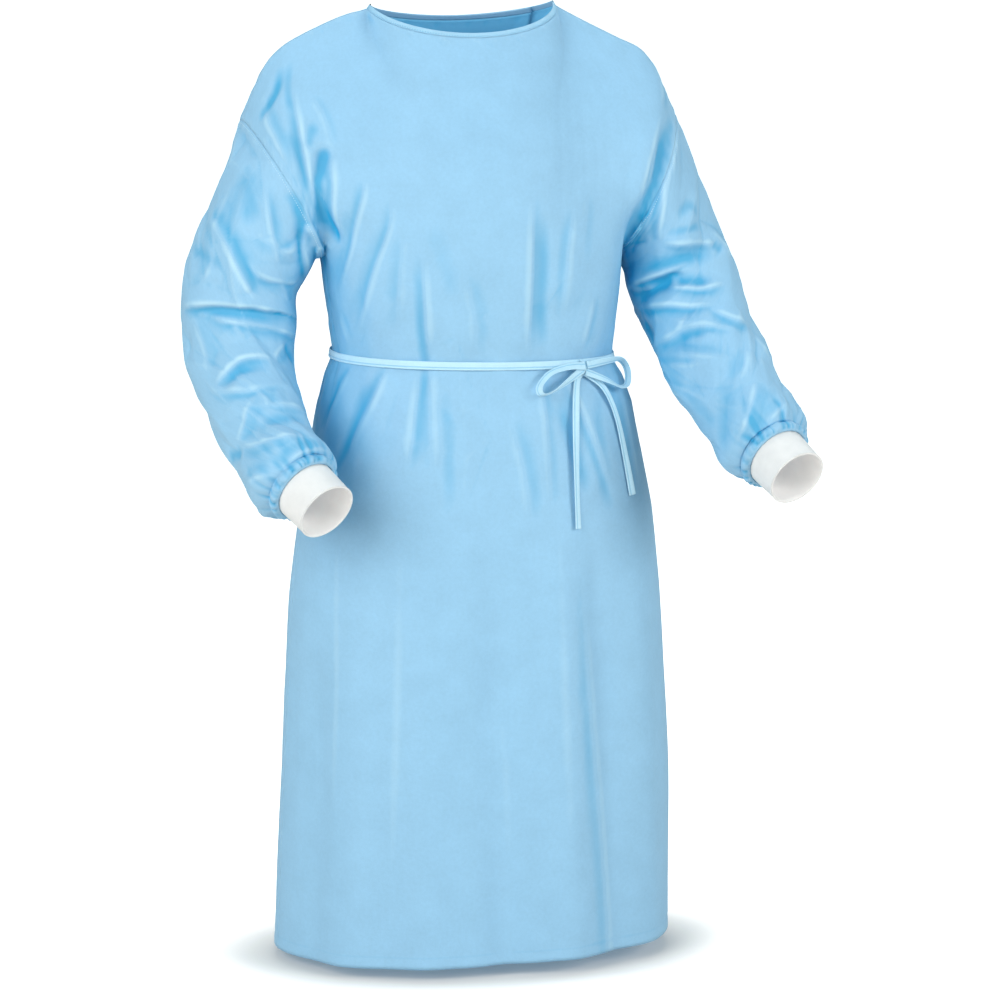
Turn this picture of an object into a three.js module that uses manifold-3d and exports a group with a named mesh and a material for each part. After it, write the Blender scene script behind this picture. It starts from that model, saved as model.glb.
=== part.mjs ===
// Isolation gown of light nonwoven cloth, hollow and standing out as it does when worn.
// Millimetres, +Z up, the front faces -Y and the wearer's left arm is on +X.
// The origin is midway between the two neck points, where the wearer's shoulders carry it.
import * as THREE from "three";
import { mergeVertices } from "three/addons/utils/BufferGeometryUtils.js";
import Module from "manifold-3d";

// ---- driving dimensions ----
const CLOTH = 1.3; // thickness of the cloth walls
const SEAM_GAP = 0.3; // free space left at every seam
const ARMPIT_ROOM = 3.5; // more of it at the armpit, where four sharp edges meet
const CORNER_ROOM = 0.8; // and at the neck points
const KNIT = 2.2; // thickness of the knitted cuffs
const AXIS_Y = -47; // the body's upright middle line, in front of the neck points
const HEM_Z = -1122;
const ARMPIT_Z = -288;
const YOKE_RISE = 290; // cloth length from armpit level up to the shoulder seam
const NECK_SHARE = 0.42; // share of the front's half width that ends at the neckline
const TAPE_WIDTH = 10;
const TAPE = 1.2; // thickness of the folded belt tape
const BINDING_WIDTH = 7;
const BINDING = 2.0;
const FLAP_LIFT = 2.2; // each overlapping back panel leaves the common surface by this much
const FLAP_EASE = 0.2; // over this share of the half width
const BELT_LEVEL = -413;
const KNOT_PLACE = NECK_SHARE; // straight below the neck point, towards the wearer's left
const KNOT_DROP = 4; // the bow's weight holds the knot this far below the belt's middle
const KNOT = { wide: 13, high: 12, deep: 8 };
const LOOP_LEAN = 0.45; // how far the loops' tape has turned from flat on the cloth to edge on
const LOOP_BEND_LEAN = 0.82; // the same where a loop turns back
const LOOP_END_LEAN = 0.1; // the same at the knot
const LOOP_END_REACH = 0.25;
const LOOP_BEND = 0.52;
const LOOP_BEND_REACH = 0.34;
const BELT_AIR = 0.15; // besides the seam gap, for the facets under the belt

// Rings of the body from hem to armpit: half width, depth in front of and behind the axis,
// squareness of the corners, sideways shift and how much lower the wearer's right side is.
const RINGS = [
  { z: HEM_Z, half: 241, front: 170, back: 170, square: 0.02, shift: 0, tilt: 4 },
  { z: -1000, half: 239, front: 166, back: 166, square: 0.02, shift: 3, tilt: 3 },
  { z: -900, half: 236, front: 161, back: 161, square: 0.03, shift: 5, tilt: 2 },
  { z: -800, half: 231, front: 155, back: 156, square: 0.03, shift: 5, tilt: 1 },
  { z: -700, half: 225, front: 151, back: 150, square: 0.03, shift: 5, tilt: 0 },
  { z: -600, half: 214, front: 142, back: 142, square: 0.03, shift: 6, tilt: 0 },
  { z: -528, half: 202, front: 134, back: 134, square: 0.03, shift: 5, tilt: -1 },
  { z: -470, half: 191, front: 125, back: 124, square: 0.03, shift: 4, tilt: -3 },
  { z: -437, half: 180, front: 118, back: 116, square: 0.03, shift: 2, tilt: -4 },
  { z: BELT_LEVEL, half: 170, front: 112, back: 108, square: 0.03, shift: 1, tilt: -5 },
  { z: -385, half: 172, front: 115, back: 110, square: 0.04, shift: 1, tilt: -3 },
  { z: -335, half: 178, front: 119, back: 113, square: 0.05, shift: 1, tilt: -1 },
  { z: ARMPIT_Z, half: 183, front: 121, back: 114, square: 0.06, shift: 0, tilt: 0 },
];

// The neck edge, and each shoulder line from the neck point out and down to the sleeve seam.
const NECK = { half: 115, front: 83, frontDrop: 33, back: 48, backDrop: 22, pointDrop: 3 };
const SHOULDERS = {
  right: [
    { out: 115, y: 0, z: -3 },
    { out: 150, y: -8, z: -11 },
    { out: 200, y: -19, z: -31 },
    { out: 226, y: -23, z: -46 },
    { out: 244, y: -22, z: -66 },
    { out: 259, y: -16, z: -100 },
    { out: 269, y: -8, z: -131 },
  ],
  left: [
    { out: 115, y: 0, z: -3 },
    { out: 146, y: -8, z: -20 },
    { out: 187, y: -18, z: -41 },
    { out: 213, y: -23, z: -54 },
    { out: 229, y: -22, z: -72 },
    { out: 243, y: -16, z: -98 },
    { out: 257, y: -8, z: -130 },
  ],
};
const ARMHOLE = { out: 183, y: AXIS_Y, front: 78, back: 76 };
const CHEST_FULLNESS = 31;
const BACK_FULLNESS = 30;

// Sleeves as rings along the arm: middle of the ring, and its reach towards the body
// and towards the front. The first ring is the armhole itself, and square tells how far the
// next ones have turned from its plane to lie square across the arm.
const SLEEVES = {
  right: [
    { x: -240, y: -28, z: -243, inner: 74, fore: 76, square: 0.45 },
    { x: -262, y: -31, z: -284, inner: 70, fore: 74, square: 0.8 },
    { x: -278, y: -33, z: -325, inner: 67, fore: 71, square: 1 },
    { x: -282, y: -38, z: -365, inner: 66, fore: 67, square: 1 },
    { x: -283, y: -52, z: -405, inner: 62, fore: 62, square: 1 },
    { x: -278, y: -80, z: -444, inner: 58, fore: 58, square: 1 },
    { x: -270, y: -122, z: -484, inner: 54, fore: 55, square: 1 },
    { x: -260, y: -160, z: -509, inner: 52, fore: 53, square: 1 },
    { x: -252, y: -190, z: -524, inner: 54, fore: 53, square: 1 },
    { x: -246, y: -205, z: -533, inner: 47, fore: 47, square: 1 },
    { x: -240, y: -216, z: -540, inner: 37, fore: 37, square: 1 },
  ],
  left: [
    { x: 233, y: -27, z: -252, inner: 66, fore: 74, square: 0.45 },
    { x: 248, y: -31, z: -289, inner: 62, fore: 72, square: 0.8 },
    { x: 258, y: -37, z: -322, inner: 65, fore: 68, square: 1 },
    { x: 270, y: -50, z: -355, inner: 66, fore: 64, square: 1 },
    { x: 278, y: -80, z: -390, inner: 62, fore: 61, square: 1 },
    { x: 283, y: -118, z: -420, inner: 59, fore: 58, square: 1 },
    { x: 290, y: -158, z: -450, inner: 55, fore: 55, square: 1 },
    { x: 299, y: -196, z: -478, inner: 53, fore: 53, square: 1 },
    { x: 307, y: -225, z: -500, inner: 54, fore: 53, square: 1 },
    { x: 313, y: -240, z: -510, inner: 47, fore: 47, square: 1 },
    { x: 318, y: -252, z: -517, inner: 37, fore: 37, square: 1 },
  ],
};
const CUFF = { start: 36.6, rim: 35, length: 45 };

// Largest folds of the front and back, by place on the panel: x across and z up at both ends,
// reach to each side and height, with a trough below zero.
const FRONT_FOLDS = [
  { x1: -205, z1: -700, x2: -218, z2: HEM_Z, reach: 22, rise: -8 },
  { x1: -150, z1: -600, x2: -180, z2: HEM_Z, reach: 30, rise: 5 },
  { x1: -85, z1: -620, x2: -95, z2: HEM_Z, reach: 34, rise: 6 },
  { x1: -10, z1: -560, x2: 0, z2: HEM_Z, reach: 30, rise: -9 },
  { x1: 75, z1: -540, x2: 88, z2: HEM_Z, reach: 32, rise: 7 },
  { x1: 112, z1: -560, x2: 145, z2: HEM_Z, reach: 20, rise: -7 },
  { x1: 170, z1: -560, x2: 195, z2: HEM_Z, reach: 26, rise: 5 },
];
const BACK_FOLDS = [
  { x1: -140, z1: -560, x2: -170, z2: HEM_Z, reach: 36, rise: 7 },
  { x1: -85, z1: -520, x2: -100, z2: HEM_Z, reach: 30, rise: -6 },
  { x1: 85, z1: -540, x2: 110, z2: HEM_Z, reach: 34, rise: 7 },
  { x1: 145, z1: -600, x2: 165, z2: HEM_Z, reach: 30, rise: -6 },
];

// Bow and tails, each running out of the knot: x across and z up from where the knot sits on
// the cloth, and how far out from the cloth. The loops come back to the knot.
const LOOP_RIGHTWARD = [
  { x: -3, z: 3, out: 12.4 },
  { x: -23, z: 4, out: 13 },
  { x: -45, z: -4, out: 13 },
  { x: -59, z: -18, out: 13 },
  { x: -57, z: -28, out: 13 },
  { x: -43, z: -25, out: 12 },
  { x: -23, z: -14, out: 10 },
  { x: -3, z: -1, out: 9.2 },
];
const LOOP_LEFTWARD = [
  { x: -1, z: 4, out: 13 },
  { x: 29, z: 7, out: 13.5 },
  { x: 48, z: 2, out: 13 },
  { x: 56, z: -13, out: 14 },
  { x: 53, z: -26, out: 13 },
  { x: 43, z: -28, out: 12 },
  { x: 26, z: -18, out: 11 },
  { x: 0, z: -5, out: 8.4 },
];
const TAIL_RIGHTWARD = [
  { x: -3, z: -4, out: 3.8 },
  { x: -10, z: -19, out: 3.8 },
  { x: -14, z: -80, out: 4.5 },
  { x: -15, z: -140, out: 4.5 },
  { x: -15, z: -187, out: 4.5 },
];
const TAIL_LEFTWARD = [
  { x: -1, z: -4, out: 6.4 },
  { x: 24, z: -24, out: 5 },
  { x: 40, z: -59, out: 4.5 },
  { x: 50, z: -109, out: 4.5 },
  { x: 58, z: -156, out: 4.5 },
];
const LOOP_STEPS = 13;
const TAIL_STEPS = 9;

// Columns of the panels, as shares of the half width: both sides of a seam use the same ones.
const NECK_COLUMNS = 5;
const SHOULDER_COLUMNS = 6;
const FLAP_COLUMNS = 3;
const SEAM_ROWS = 10; // rows along half an armhole, and so half the points round a sleeve
const SKIRT_LEVELS = [HEM_Z, -1030, -935, -840, -745, -650, -560, -500, -460, -434];
const BELT_EDGES = [BELT_LEVEL - TAPE_WIDTH / 2, BELT_LEVEL + TAPE_WIDTH / 2];
const WAIST_LEVELS = [...BELT_EDGES, -378, -335];
const SLEEVE_RINGS = 15;
const SLEEVE_JOINS = [0, 5, 10, SLEEVE_RINGS];
const SLEEVE_LENGTHS = ["upper", "middle", "lower"];

// ---- small tools ----
const vec = (x, y, z) => new THREE.Vector3(x, y, z);
const mix = (a, b, t) => a + (b - a) * t;
const smooth = (t) => {
  const c = Math.min(1, Math.max(0, t));
  return c * c * (3 - 2 * c);
};

// Catmull-Rom through equally numbered rows: each key of the rows at the place u, from 0 to 1.
function along(rows, u) {
  const last = rows.length - 1;
  const place = Math.min(1, Math.max(0, u)) * last;
  const i = Math.min(last - 1, Math.floor(place));
  const t = place - i;
  const rowAt = (k) => {
    if (k < 0) return blendRows(rows[0], rows[1], -1);
    if (k > last) return blendRows(rows[last], rows[last - 1], -1);
    return rows[k];
  };
  const [a, b, c, d] = [i - 1, i, i + 1, i + 2].map(rowAt);
  const out = {};
  for (const key of Object.keys(b)) {
    const pull = (c[key] - a[key]) / 2;
    const push = (d[key] - b[key]) / 2;
    const h = t * t * (3 - 2 * t);
    out[key] = b[key] * (1 - h) + c[key] * h;
    out[key] += pull * t * (1 - t) * (1 - t) - push * t * t * (1 - t);
  }
  return out;
}
function blendRows(from, to, t) {
  const out = {};
  for (const key of Object.keys(from)) out[key] = mix(from[key], to[key], t);
  return out;
}

// ---- the body's common surface ----
// A height on the body runs in millimetres of cloth: z up to the armpits, then on to the shoulder.
const TOP_HEIGHT = ARMPIT_Z + YOKE_RISE;

function ringAt(z) {
  let i = 0;
  while (i < RINGS.length - 2 && z > RINGS[i + 1].z) i += 1;
  const t = (z - RINGS[i].z) / (RINGS[i + 1].z - RINGS[i].z);
  return along(RINGS, (i + t) / (RINGS.length - 1));
}
function ringPoint(face, across, z) {
  const ring = ringAt(z);
  const angle = (across * Math.PI) / 2;
  const corner = 1 + ring.square * Math.sin(2 * angle) ** 2;
  const x = ring.shift + ring.half * Math.sin(angle) * corner;
  const depth = face === "front" ? -ring.front : ring.back;
  const y = AXIS_Y + depth * Math.cos(angle) * corner;
  return vec(x, y, z + ring.tilt * Math.sin(angle));
}
const sideOf = (across) => (across < 0 ? "right" : "left");
const sign = (side) => (side === "right" ? -1 : 1);

function shoulderPoint(side, share) {
  const p = along(SHOULDERS[side], share);
  return vec(sign(side) * p.out, p.y, p.z);
}
function topPoint(face, across) {
  const share = Math.abs(across);
  if (share >= NECK_SHARE)
    return shoulderPoint(sideOf(across), (share - NECK_SHARE) / (1 - NECK_SHARE));
  const turn = ((across / NECK_SHARE) * Math.PI) / 2;
  const [depth, drop] = face === "front" ? [-NECK.front, NECK.frontDrop] : [NECK.back, NECK.backDrop];
  const z = -NECK.pointDrop - (drop - NECK.pointDrop) * Math.cos(turn) ** 1.2;
  return vec(NECK.half * Math.sin(turn), depth * Math.cos(turn), z);
}
function armholeFrame(side) {
  const bottom = vec(sign(side) * ARMHOLE.out, ARMHOLE.y, ARMPIT_Z);
  const top = shoulderPoint(side, 1);
  const middle = bottom.clone().add(top).multiplyScalar(0.5);
  return { middle, under: bottom.sub(middle) };
}
// Turn 0 is the armpit, 90 degrees the front, 180 the shoulder and 270 the back.
function armholePoint(side, turn) {
  const { middle, under } = armholeFrame(side);
  const reach = Math.sin(turn) > 0 ? ARMHOLE.front : ARMHOLE.back;
  return middle
    .clone()
    .addScaledVector(under, Math.cos(turn))
    .add(vec(0, -reach * Math.sin(turn), 0));
}
function yokePoint(face, across, rise) {
  const side = sideOf(across);
  const low = ringPoint(face, across, ARMPIT_Z);
  const high = topPoint(face, across);
  const straightEdge = armholePoint(side, 0).lerp(armholePoint(side, Math.PI), rise);
  const turn = face === "front" ? Math.PI * rise : -Math.PI * rise;
  const bow = armholePoint(side, turn).sub(straightEdge);
  const corner = armholePoint(side, 0).sub(ringPoint(face, Math.sign(across) || 1, ARMPIT_Z));
  const share = Math.abs(across);
  const fullness = face === "front" ? -CHEST_FULLNESS : BACK_FULLNESS;
  return low
    .lerp(high, rise)
    .addScaledVector(bow, share ** (2.4 + 2 * (1 - smooth(rise / 0.45))))
    .addScaledVector(corner, share ** 8 * (1 - rise))
    .add(vec(0, fullness * (1 - share * share) * Math.sin(Math.PI * rise), 0));
}
function rawBody(face, across, height) {
  if (height <= ARMPIT_Z) return ringPoint(face, across, height);
  return yokePoint(face, across, (height - ARMPIT_Z) / YOKE_RISE);
}
// Cloth takes no sharp bends inside a panel: each point is the mean of a few round it,
// over a reach that falls to nothing at the panel's own edges.
const TAPS = [-1, -0.5, 0, 0.5, 1];
function bodyPoint(face, across, height) {
  const inside = smooth((1 - Math.abs(across)) / 0.35);
  const below = smooth((TOP_HEIGHT - height) / 110) * smooth((height - HEM_Z) / 90);
  const level = 42 * inside * below * smooth((height + 380) / 60);
  const width = 0.13 * inside * smooth((height - ARMPIT_Z + 60) / 90) * below;
  if (level < 0.01) return rawBody(face, across, height);
  const sum = vec(0, 0, 0);
  for (const up of TAPS)
    for (const over of TAPS) sum.add(rawBody(face, across + over * width, height + up * level));
  return sum.divideScalar(TAPS.length ** 2);
}
// Rise of the folds at a place of a panel.
function foldRise(folds, x, z) {
  let rise = 0;
  for (const f of folds) {
    const dx = f.x2 - f.x1;
    const dz = f.z2 - f.z1;
    const share = ((x - f.x1) * dx + (z - f.z1) * dz) / (dx * dx + dz * dz);
    const t = Math.min(1, Math.max(0, share));
    const away = Math.hypot(x - f.x1 - t * dx, z - f.z1 - t * dz) / f.reach;
    rise += f.rise * Math.exp(-away * away * 1.5) * smooth(t * 2.5);
  }
  return rise;
}
function normalAt(point, across, height) {
  const over = point(across + 0.01, height).sub(point(across - 0.01, height));
  const up = point(across, height + 2).sub(point(across, height - 2));
  return over.cross(up).normalize();
}
function outwardAt(face, across, height) {
  const base = (a, h) => bodyPoint(face, Math.max(-1, Math.min(1, a)), Math.min(TOP_HEIGHT, h));
  return normalAt(base, across, height).multiplyScalar(face === "front" ? 1 : -1);
}
function clothPoint(face, across, height) {
  const p = bodyPoint(face, across, height);
  const outward = outwardAt(face, across, height);
  const folds = face === "front" ? FRONT_FOLDS : BACK_FOLDS;
  const free = smooth((1 - Math.abs(across)) / 0.12);
  return p.addScaledVector(outward, foldRise(folds, p.x, p.z) * free);
}

// ---- walls from grids of points ----
// A grid holds rows of points on the cloth's middle surface. Points that two pieces share
// lie on a seam: there both walls end on one common slanted face.
const SAME_POINT = 0.1;
const MOST_SLANT = 1.5; // the longest reach of a slanted end, in half thicknesses
const seams = [];
function seamAt(point) {
  let seam = seams.find((known) => known.point.distanceTo(point) < SAME_POINT);
  if (!seam) {
    seam = { point, normal: vec(0, 0, 0) };
    seams.push(seam);
  }
  return seam;
}

function gridNormals(grid, round) {
  const rows = grid.length;
  const cols = grid[0].length;
  return grid.map((row, j) =>
    row.map((p, i) => {
      const west = round ? row[(i - 1 + cols) % cols] : row[Math.max(0, i - 1)];
      const east = round ? row[(i + 1) % cols] : row[Math.min(cols - 1, i + 1)];
      const south = grid[Math.max(0, j - 1)][i];
      const north = grid[Math.min(rows - 1, j + 1)][i];
      return east.clone().sub(west).cross(north.clone().sub(south)).normalize();
    }),
  );
}
function edgePoints(piece) {
  const last = piece.grid.length - 1;
  const side = piece.grid[0].length - 1;
  const onEdge = (j, i) => j === 0 || j === last || (!piece.round && (i === 0 || i === side));
  const list = [];
  piece.grid.forEach((row, j) => row.forEach((p, i) => onEdge(j, i) && list.push({ j, i, p })));
  return list;
}
function shareSeams(piece) {
  piece.normals = gridNormals(piece.grid, piece.round);
  for (const { j, i, p } of edgePoints(piece)) seamAt(p).normal.add(piece.normals[j][i]);
}
function takeSeams(piece) {
  piece.common = piece.normals.map((row) => [...row]);
  for (const { j, i, p } of edgePoints(piece)) piece.common[j][i] = seamAt(p).normal.clone().normalize();
}
// Moves a grid's edges back from the seam line, along the cloth.
function drawBack(piece) {
  const { grid, round, open } = piece;
  const rows = grid.length;
  const cols = grid[0].length;
  const moved = grid.map((row) => row.map((p) => p.clone()));
  const shift = (j, i, jn, inn) => {
    const way = grid[jn][inn].clone().sub(grid[j][i]);
    moved[j][i].addScaledVector(way.normalize(), SEAM_GAP + (piece.room ? piece.room(j, i) : 0));
  };
  for (let i = 0; i < cols; i += 1) {
    if (!open.includes("start")) shift(0, i, 1, i);
    if (!open.includes("end")) shift(rows - 1, i, rows - 2, i);
  }
  if (!round)
    for (let j = 0; j < rows; j += 1) {
      if (!open.includes("west")) shift(j, 0, j, 1);
      if (!open.includes("east")) shift(j, cols - 1, j, cols - 2);
    }
  piece.grid = moved;
}
// One closed body from a grid: outer skin, inner skin and the strips along its edges.
function wallGeometry(piece) {
  const { grid, normals, round, thick } = piece;
  const rows = grid.length;
  const cols = grid[0].length;
  const points = [];
  const faces = [];
  const half = thick / 2;
  for (const side of [1, -1])
    grid.forEach((row, j) =>
      row.forEach((p, i) => {
        const own = normals[j][i];
        const common = piece.common[j][i];
        const slant = Math.min(MOST_SLANT, 1 / Math.max(0.5, own.dot(common)));
        points.push(p.clone().addScaledVector(common, side * half * slant));
      }),
    );
  const outer = (j, i) => j * cols + (i % cols);
  const inner = (j, i) => rows * cols + outer(j, i);
  const quad = (a, b, c, d) => faces.push(a, b, c, a, c, d);
  const spans = round ? cols : cols - 1;
  for (let j = 0; j < rows - 1; j += 1)
    for (let i = 0; i < spans; i += 1) {
      quad(outer(j, i), outer(j, i + 1), outer(j + 1, i + 1), outer(j + 1, i));
      quad(inner(j, i), inner(j + 1, i), inner(j + 1, i + 1), inner(j, i + 1));
    }
  for (let i = 0; i < spans; i += 1) {
    quad(outer(0, i + 1), outer(0, i), inner(0, i), inner(0, i + 1));
    quad(outer(rows - 1, i), outer(rows - 1, i + 1), inner(rows - 1, i + 1), inner(rows - 1, i));
  }
  if (!round)
    for (let j = 0; j < rows - 1; j += 1) {
      quad(outer(j, 0), outer(j + 1, 0), inner(j + 1, 0), inner(j, 0));
      quad(outer(j + 1, cols - 1), outer(j, cols - 1), inner(j, cols - 1), inner(j + 1, cols - 1));
    }
  const geometry = new THREE.BufferGeometry();
  const flat = points.flatMap((p) => [p.x, p.y, p.z]);
  geometry.setAttribute("position", new THREE.Float32BufferAttribute(flat, 3));
  geometry.setIndex(faces);
  geometry.computeVertexNormals();
  return geometry;
}

// ---- body panels ----
const armholeHeights = Array.from(
  { length: SEAM_ROWS + 1 },
  (_, k) => ARMPIT_Z + (YOKE_RISE * k) / SEAM_ROWS,
);
const heights = [...SKIRT_LEVELS, ...WAIST_LEVELS, ...armholeHeights];

const evenly = (from, to, count) =>
  Array.from({ length: count }, (_, k) => mix(from, to, k / count));
const shoulderShares = [...evenly(1, NECK_SHARE, SHOULDER_COLUMNS), NECK_SHARE];
const neckShares = evenly(0, NECK_SHARE, NECK_COLUMNS);
const halfShares = [...neckShares, ...[...shoulderShares].reverse()];
const frontShares = [...halfShares.slice(1).map((s) => -s).reverse(), ...halfShares];
const flapShares = neckShares.slice(1, FLAP_COLUMNS + 1);
const leftBackShares = [...flapShares.map((s) => -s).reverse(), ...halfShares];
const rightBackShares = leftBackShares.map((s) => -s).reverse();
const FLAP_SHARE = flapShares[FLAP_COLUMNS - 1];
function lift(across, face) {
  if (face === "front") return 0;
  return smooth((FLAP_SHARE + FLAP_EASE - Math.abs(across)) / FLAP_EASE);
}
function panel(name, face, shares, side) {
  const flap = side === "left" ? FLAP_LIFT : -FLAP_LIFT;
  const grid = heights.map((height) =>
    shares.map((across) => {
      const p = clothPoint(face, across, height);
      return p.addScaledVector(outwardAt(face, across, height), flap * lift(across, face));
    }),
  );
  const top = heights.length - 1;
  const room = (j, i) => (j === top && Math.abs(shares[i]) === NECK_SHARE ? CORNER_ROOM : 0);
  return { name, grid, round: false, thick: CLOTH, room };
}
const front = { ...panel("front_panel", "front", frontShares, "left"), open: ["start"] };
const mirrorRows = (piece) => ({
  ...piece,
  grid: piece.grid.map((row) => [...row].reverse()),
  room: (j, i) => piece.room(j, piece.grid[0].length - 1 - i),
});
const backLeft = {
  ...mirrorRows(panel("back_panel_left", "back", leftBackShares, "left")),
  open: ["start", "east"],
};
const backRight = {
  ...mirrorRows(panel("back_panel_right", "back", rightBackShares, "right")),
  open: ["start", "west"],
};

// ---- sleeves and cuffs ----
function sleeveStations(side) {
  const { middle, under } = armholeFrame(side);
  const rows = SLEEVES[side];
  const middles = [middle, ...rows.map((r) => vec(r.x, r.y, r.z))];
  let inward = under.clone().normalize();
  const fore = vec(0, -ARMHOLE.front, 0);
  const armholeWay = under.clone().cross(fore).multiplyScalar(-sign(side)).normalize();
  const stations = [{ middle, under, fore }];
  rows.forEach((row, k) => {
    const ahead = middles[Math.min(middles.length - 1, k + 2)];
    const alongArm = ahead.clone().sub(middles[k]).normalize();
    const way = armholeWay.clone().lerp(alongArm, row.square).normalize();
    inward = inward.clone().addScaledVector(way, -inward.dot(way)).normalize();
    const toFront = way.clone().cross(inward).multiplyScalar(-sign(side));
    stations.push({
      middle: middles[k + 1],
      under: inward.clone().multiplyScalar(row.inner),
      fore: toFront.multiplyScalar(row.fore),
    });
  });
  return stations.map((s) => ({
    mx: s.middle.x, my: s.middle.y, mz: s.middle.z,
    ux: s.under.x, uy: s.under.y, uz: s.under.z,
    fx: s.fore.x, fy: s.fore.y, fz: s.fore.z,
  }));
}
const stationsOf = { right: sleeveStations("right"), left: sleeveStations("left") };
function sleevePoint(side, turn, share) {
  if (share === 0) return armholePoint(side, turn);
  const s = along(stationsOf[side], share);
  const c = Math.cos(turn);
  const f = Math.sin(turn);
  return vec(s.mx + c * s.ux + f * s.fx, s.my + c * s.uy + f * s.fy, s.mz + c * s.uz + f * s.fz);
}
// A sleeve is made in three lengths that meet on shared rings, so that each is nearly straight.
function sleeve(side, length) {
  const from = SLEEVE_JOINS[length];
  const to = SLEEVE_JOINS[length + 1];
  const grid = [];
  for (let j = from; j <= to; j += 1) {
    const row = [];
    for (let i = 0; i < 2 * SEAM_ROWS; i += 1) {
      const turn = (-sign(side) * Math.PI * i) / SEAM_ROWS;
      row.push(sleevePoint(side, turn, j / SLEEVE_RINGS));
    }
    grid.push(row);
  }
  const fromArmpit = (i) => Math.min(i, 2 * SEAM_ROWS - i);
  const atArmhole = (j) => from + j === 0;
  const room = (j, i) => (atArmhole(j) ? ARMPIT_ROOM * smooth(1 - fromArmpit(i) / 3) : 0);
  const name = "sleeve_" + side + "_" + SLEEVE_LENGTHS[length];
  return { name, grid, round: true, thick: CLOTH, open: [], room };
}
function cuff(side) {
  const end = along(stationsOf[side], 1);
  const middle = vec(end.mx, end.my, end.mz);
  const under = vec(end.ux, end.uy, end.uz).normalize();
  const fore = vec(end.fx, end.fy, end.fz).normalize();
  const way = under.clone().cross(fore).multiplyScalar(-sign(side));
  const steps = [0, 0.5, 1];
  const grid = steps.map((t) => {
    const row = [];
    for (let i = 0; i < 2 * SEAM_ROWS; i += 1) {
      const turn = (-sign(side) * Math.PI * i) / SEAM_ROWS;
      const radius = mix(CUFF.start, CUFF.rim, t);
      const p = middle.clone().addScaledVector(way, SEAM_GAP + CUFF.length * t);
      p.addScaledVector(under, radius * Math.cos(turn));
      row.push(p.addScaledVector(fore, radius * Math.sin(turn)));
    }
    return row;
  });
  return { name: "cuff_" + side, grid, round: true, thick: KNIT, open: ["start", "end"] };
}

// ---- binding, belt and bow ----
// The binding carries the cloth on from the neck seam towards the neck.
function bindingGrid() {
  const rows = [[], []];
  const add = (face, across, flap) => {
    const edge = topPoint(face, across);
    const raise = flap * lift(across, face);
    const below = bodyPoint(face, across, TOP_HEIGHT - 12);
    const onward = edge.clone().sub(below).normalize();
    const inward = vec(-edge.x, -edge.y * 0.9, 0).normalize();
    const way = onward.lerp(inward, 0.35).normalize();
    const out = vec(0, raise, 0);
    rows[0].push(edge.clone().add(out).addScaledVector(way, SEAM_GAP + 0.5));
    rows[1].push(edge.clone().add(out).addScaledVector(way, BINDING_WIDTH));
  };
  const atNeck = (list) => list.filter((s) => Math.abs(s) <= NECK_SHARE);
  for (const s of atNeck(rightBackShares).reverse()) add("back", s, -FLAP_LIFT);
  for (const s of atNeck(frontShares).slice(1, -1)) add("front", s, 0);
  for (const s of atNeck(leftBackShares).reverse()) add("back", s, FLAP_LIFT);
  return rows;
}
const binding = { name: "neck_binding", grid: bindingGrid(), round: false, thick: BINDING };
binding.open = ["start", "end", "west", "east"];

// A band of tape along a path: across gives its width's direction at each place.
function tapeGrid(path, across) {
  return [-0.5, 0.5].map((side) =>
    path.map((p, i) => p.clone().addScaledVector(across[i], side * TAPE_WIDTH)),
  );
}
// The belt lies on the panels' own points, moved out.
function beltGrid() {
  const rows = [[], []];
  const add = (face, across) => {
    const raise = CLOTH / 2 + SEAM_GAP + TAPE / 2 + BELT_AIR + FLAP_LIFT * lift(across, face);
    BELT_EDGES.forEach((level, k) => {
      rows[k].push(clothPoint(face, across, level).addScaledVector(outwardAt(face, across, level), raise));
    });
  };
  const start = frontShares.indexOf(KNOT_PLACE);
  for (const s of frontShares.slice(start)) add("front", s);
  for (const s of [...leftBackShares].reverse().slice(1)) add("back", s);
  for (const s of rightBackShares.filter((r) => r < -FLAP_SHARE).reverse()) add("back", s);
  for (const s of frontShares.slice(1, start + 1)) add("front", s);
  // Both ends stop just short of each other, hidden by the knot.
  for (const row of rows) {
    const last = row.length - 1;
    const step = (from, to) => from.add(to.clone().sub(from).setLength(2));
    step(row[0], row[1]);
    step(row[last], row[last - 1]);
  }
  return rows;
}
const belt = { name: "belt_waist", grid: beltGrid(), round: false, thick: TAPE };
belt.open = ["start", "end", "west", "east"];

// A place on the front, counted from the knot's, and moved out from the cloth.
const knotSeat = clothPoint("front", KNOT_PLACE, BELT_LEVEL - KNOT_DROP);
function frontPlace({ x, z, out }) {
  const level = knotSeat.z + z;
  const ring = ringAt(level);
  const reach = (knotSeat.x + x - ring.shift) / ring.half;
  const share = Math.asin(Math.max(-0.98, Math.min(0.98, reach))) * (2 / Math.PI);
  return clothPoint("front", share, level).addScaledVector(outwardAt("front", share, level), out);
}
function tapeAlong(name, places, steps, facing) {
  const curve = new THREE.CatmullRomCurve3(places.map(frontPlace), false, "centripetal");
  const path = curve.getPoints(steps);
  const width = path.map((p, i) => {
    const way = path[Math.min(steps, i + 1)].clone().sub(path[Math.max(0, i - 1)]);
    return facing(way.normalize(), i / steps);
  });
  const piece = { name, grid: tapeGrid(path, width), round: false, thick: TAPE };
  piece.open = ["start", "end", "west", "east"];
  return piece;
}
const outwardHere = outwardAt("front", KNOT_PLACE, BELT_LEVEL);
const flatOnCloth = (way) => outwardHere.clone().cross(way).normalize();
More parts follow.
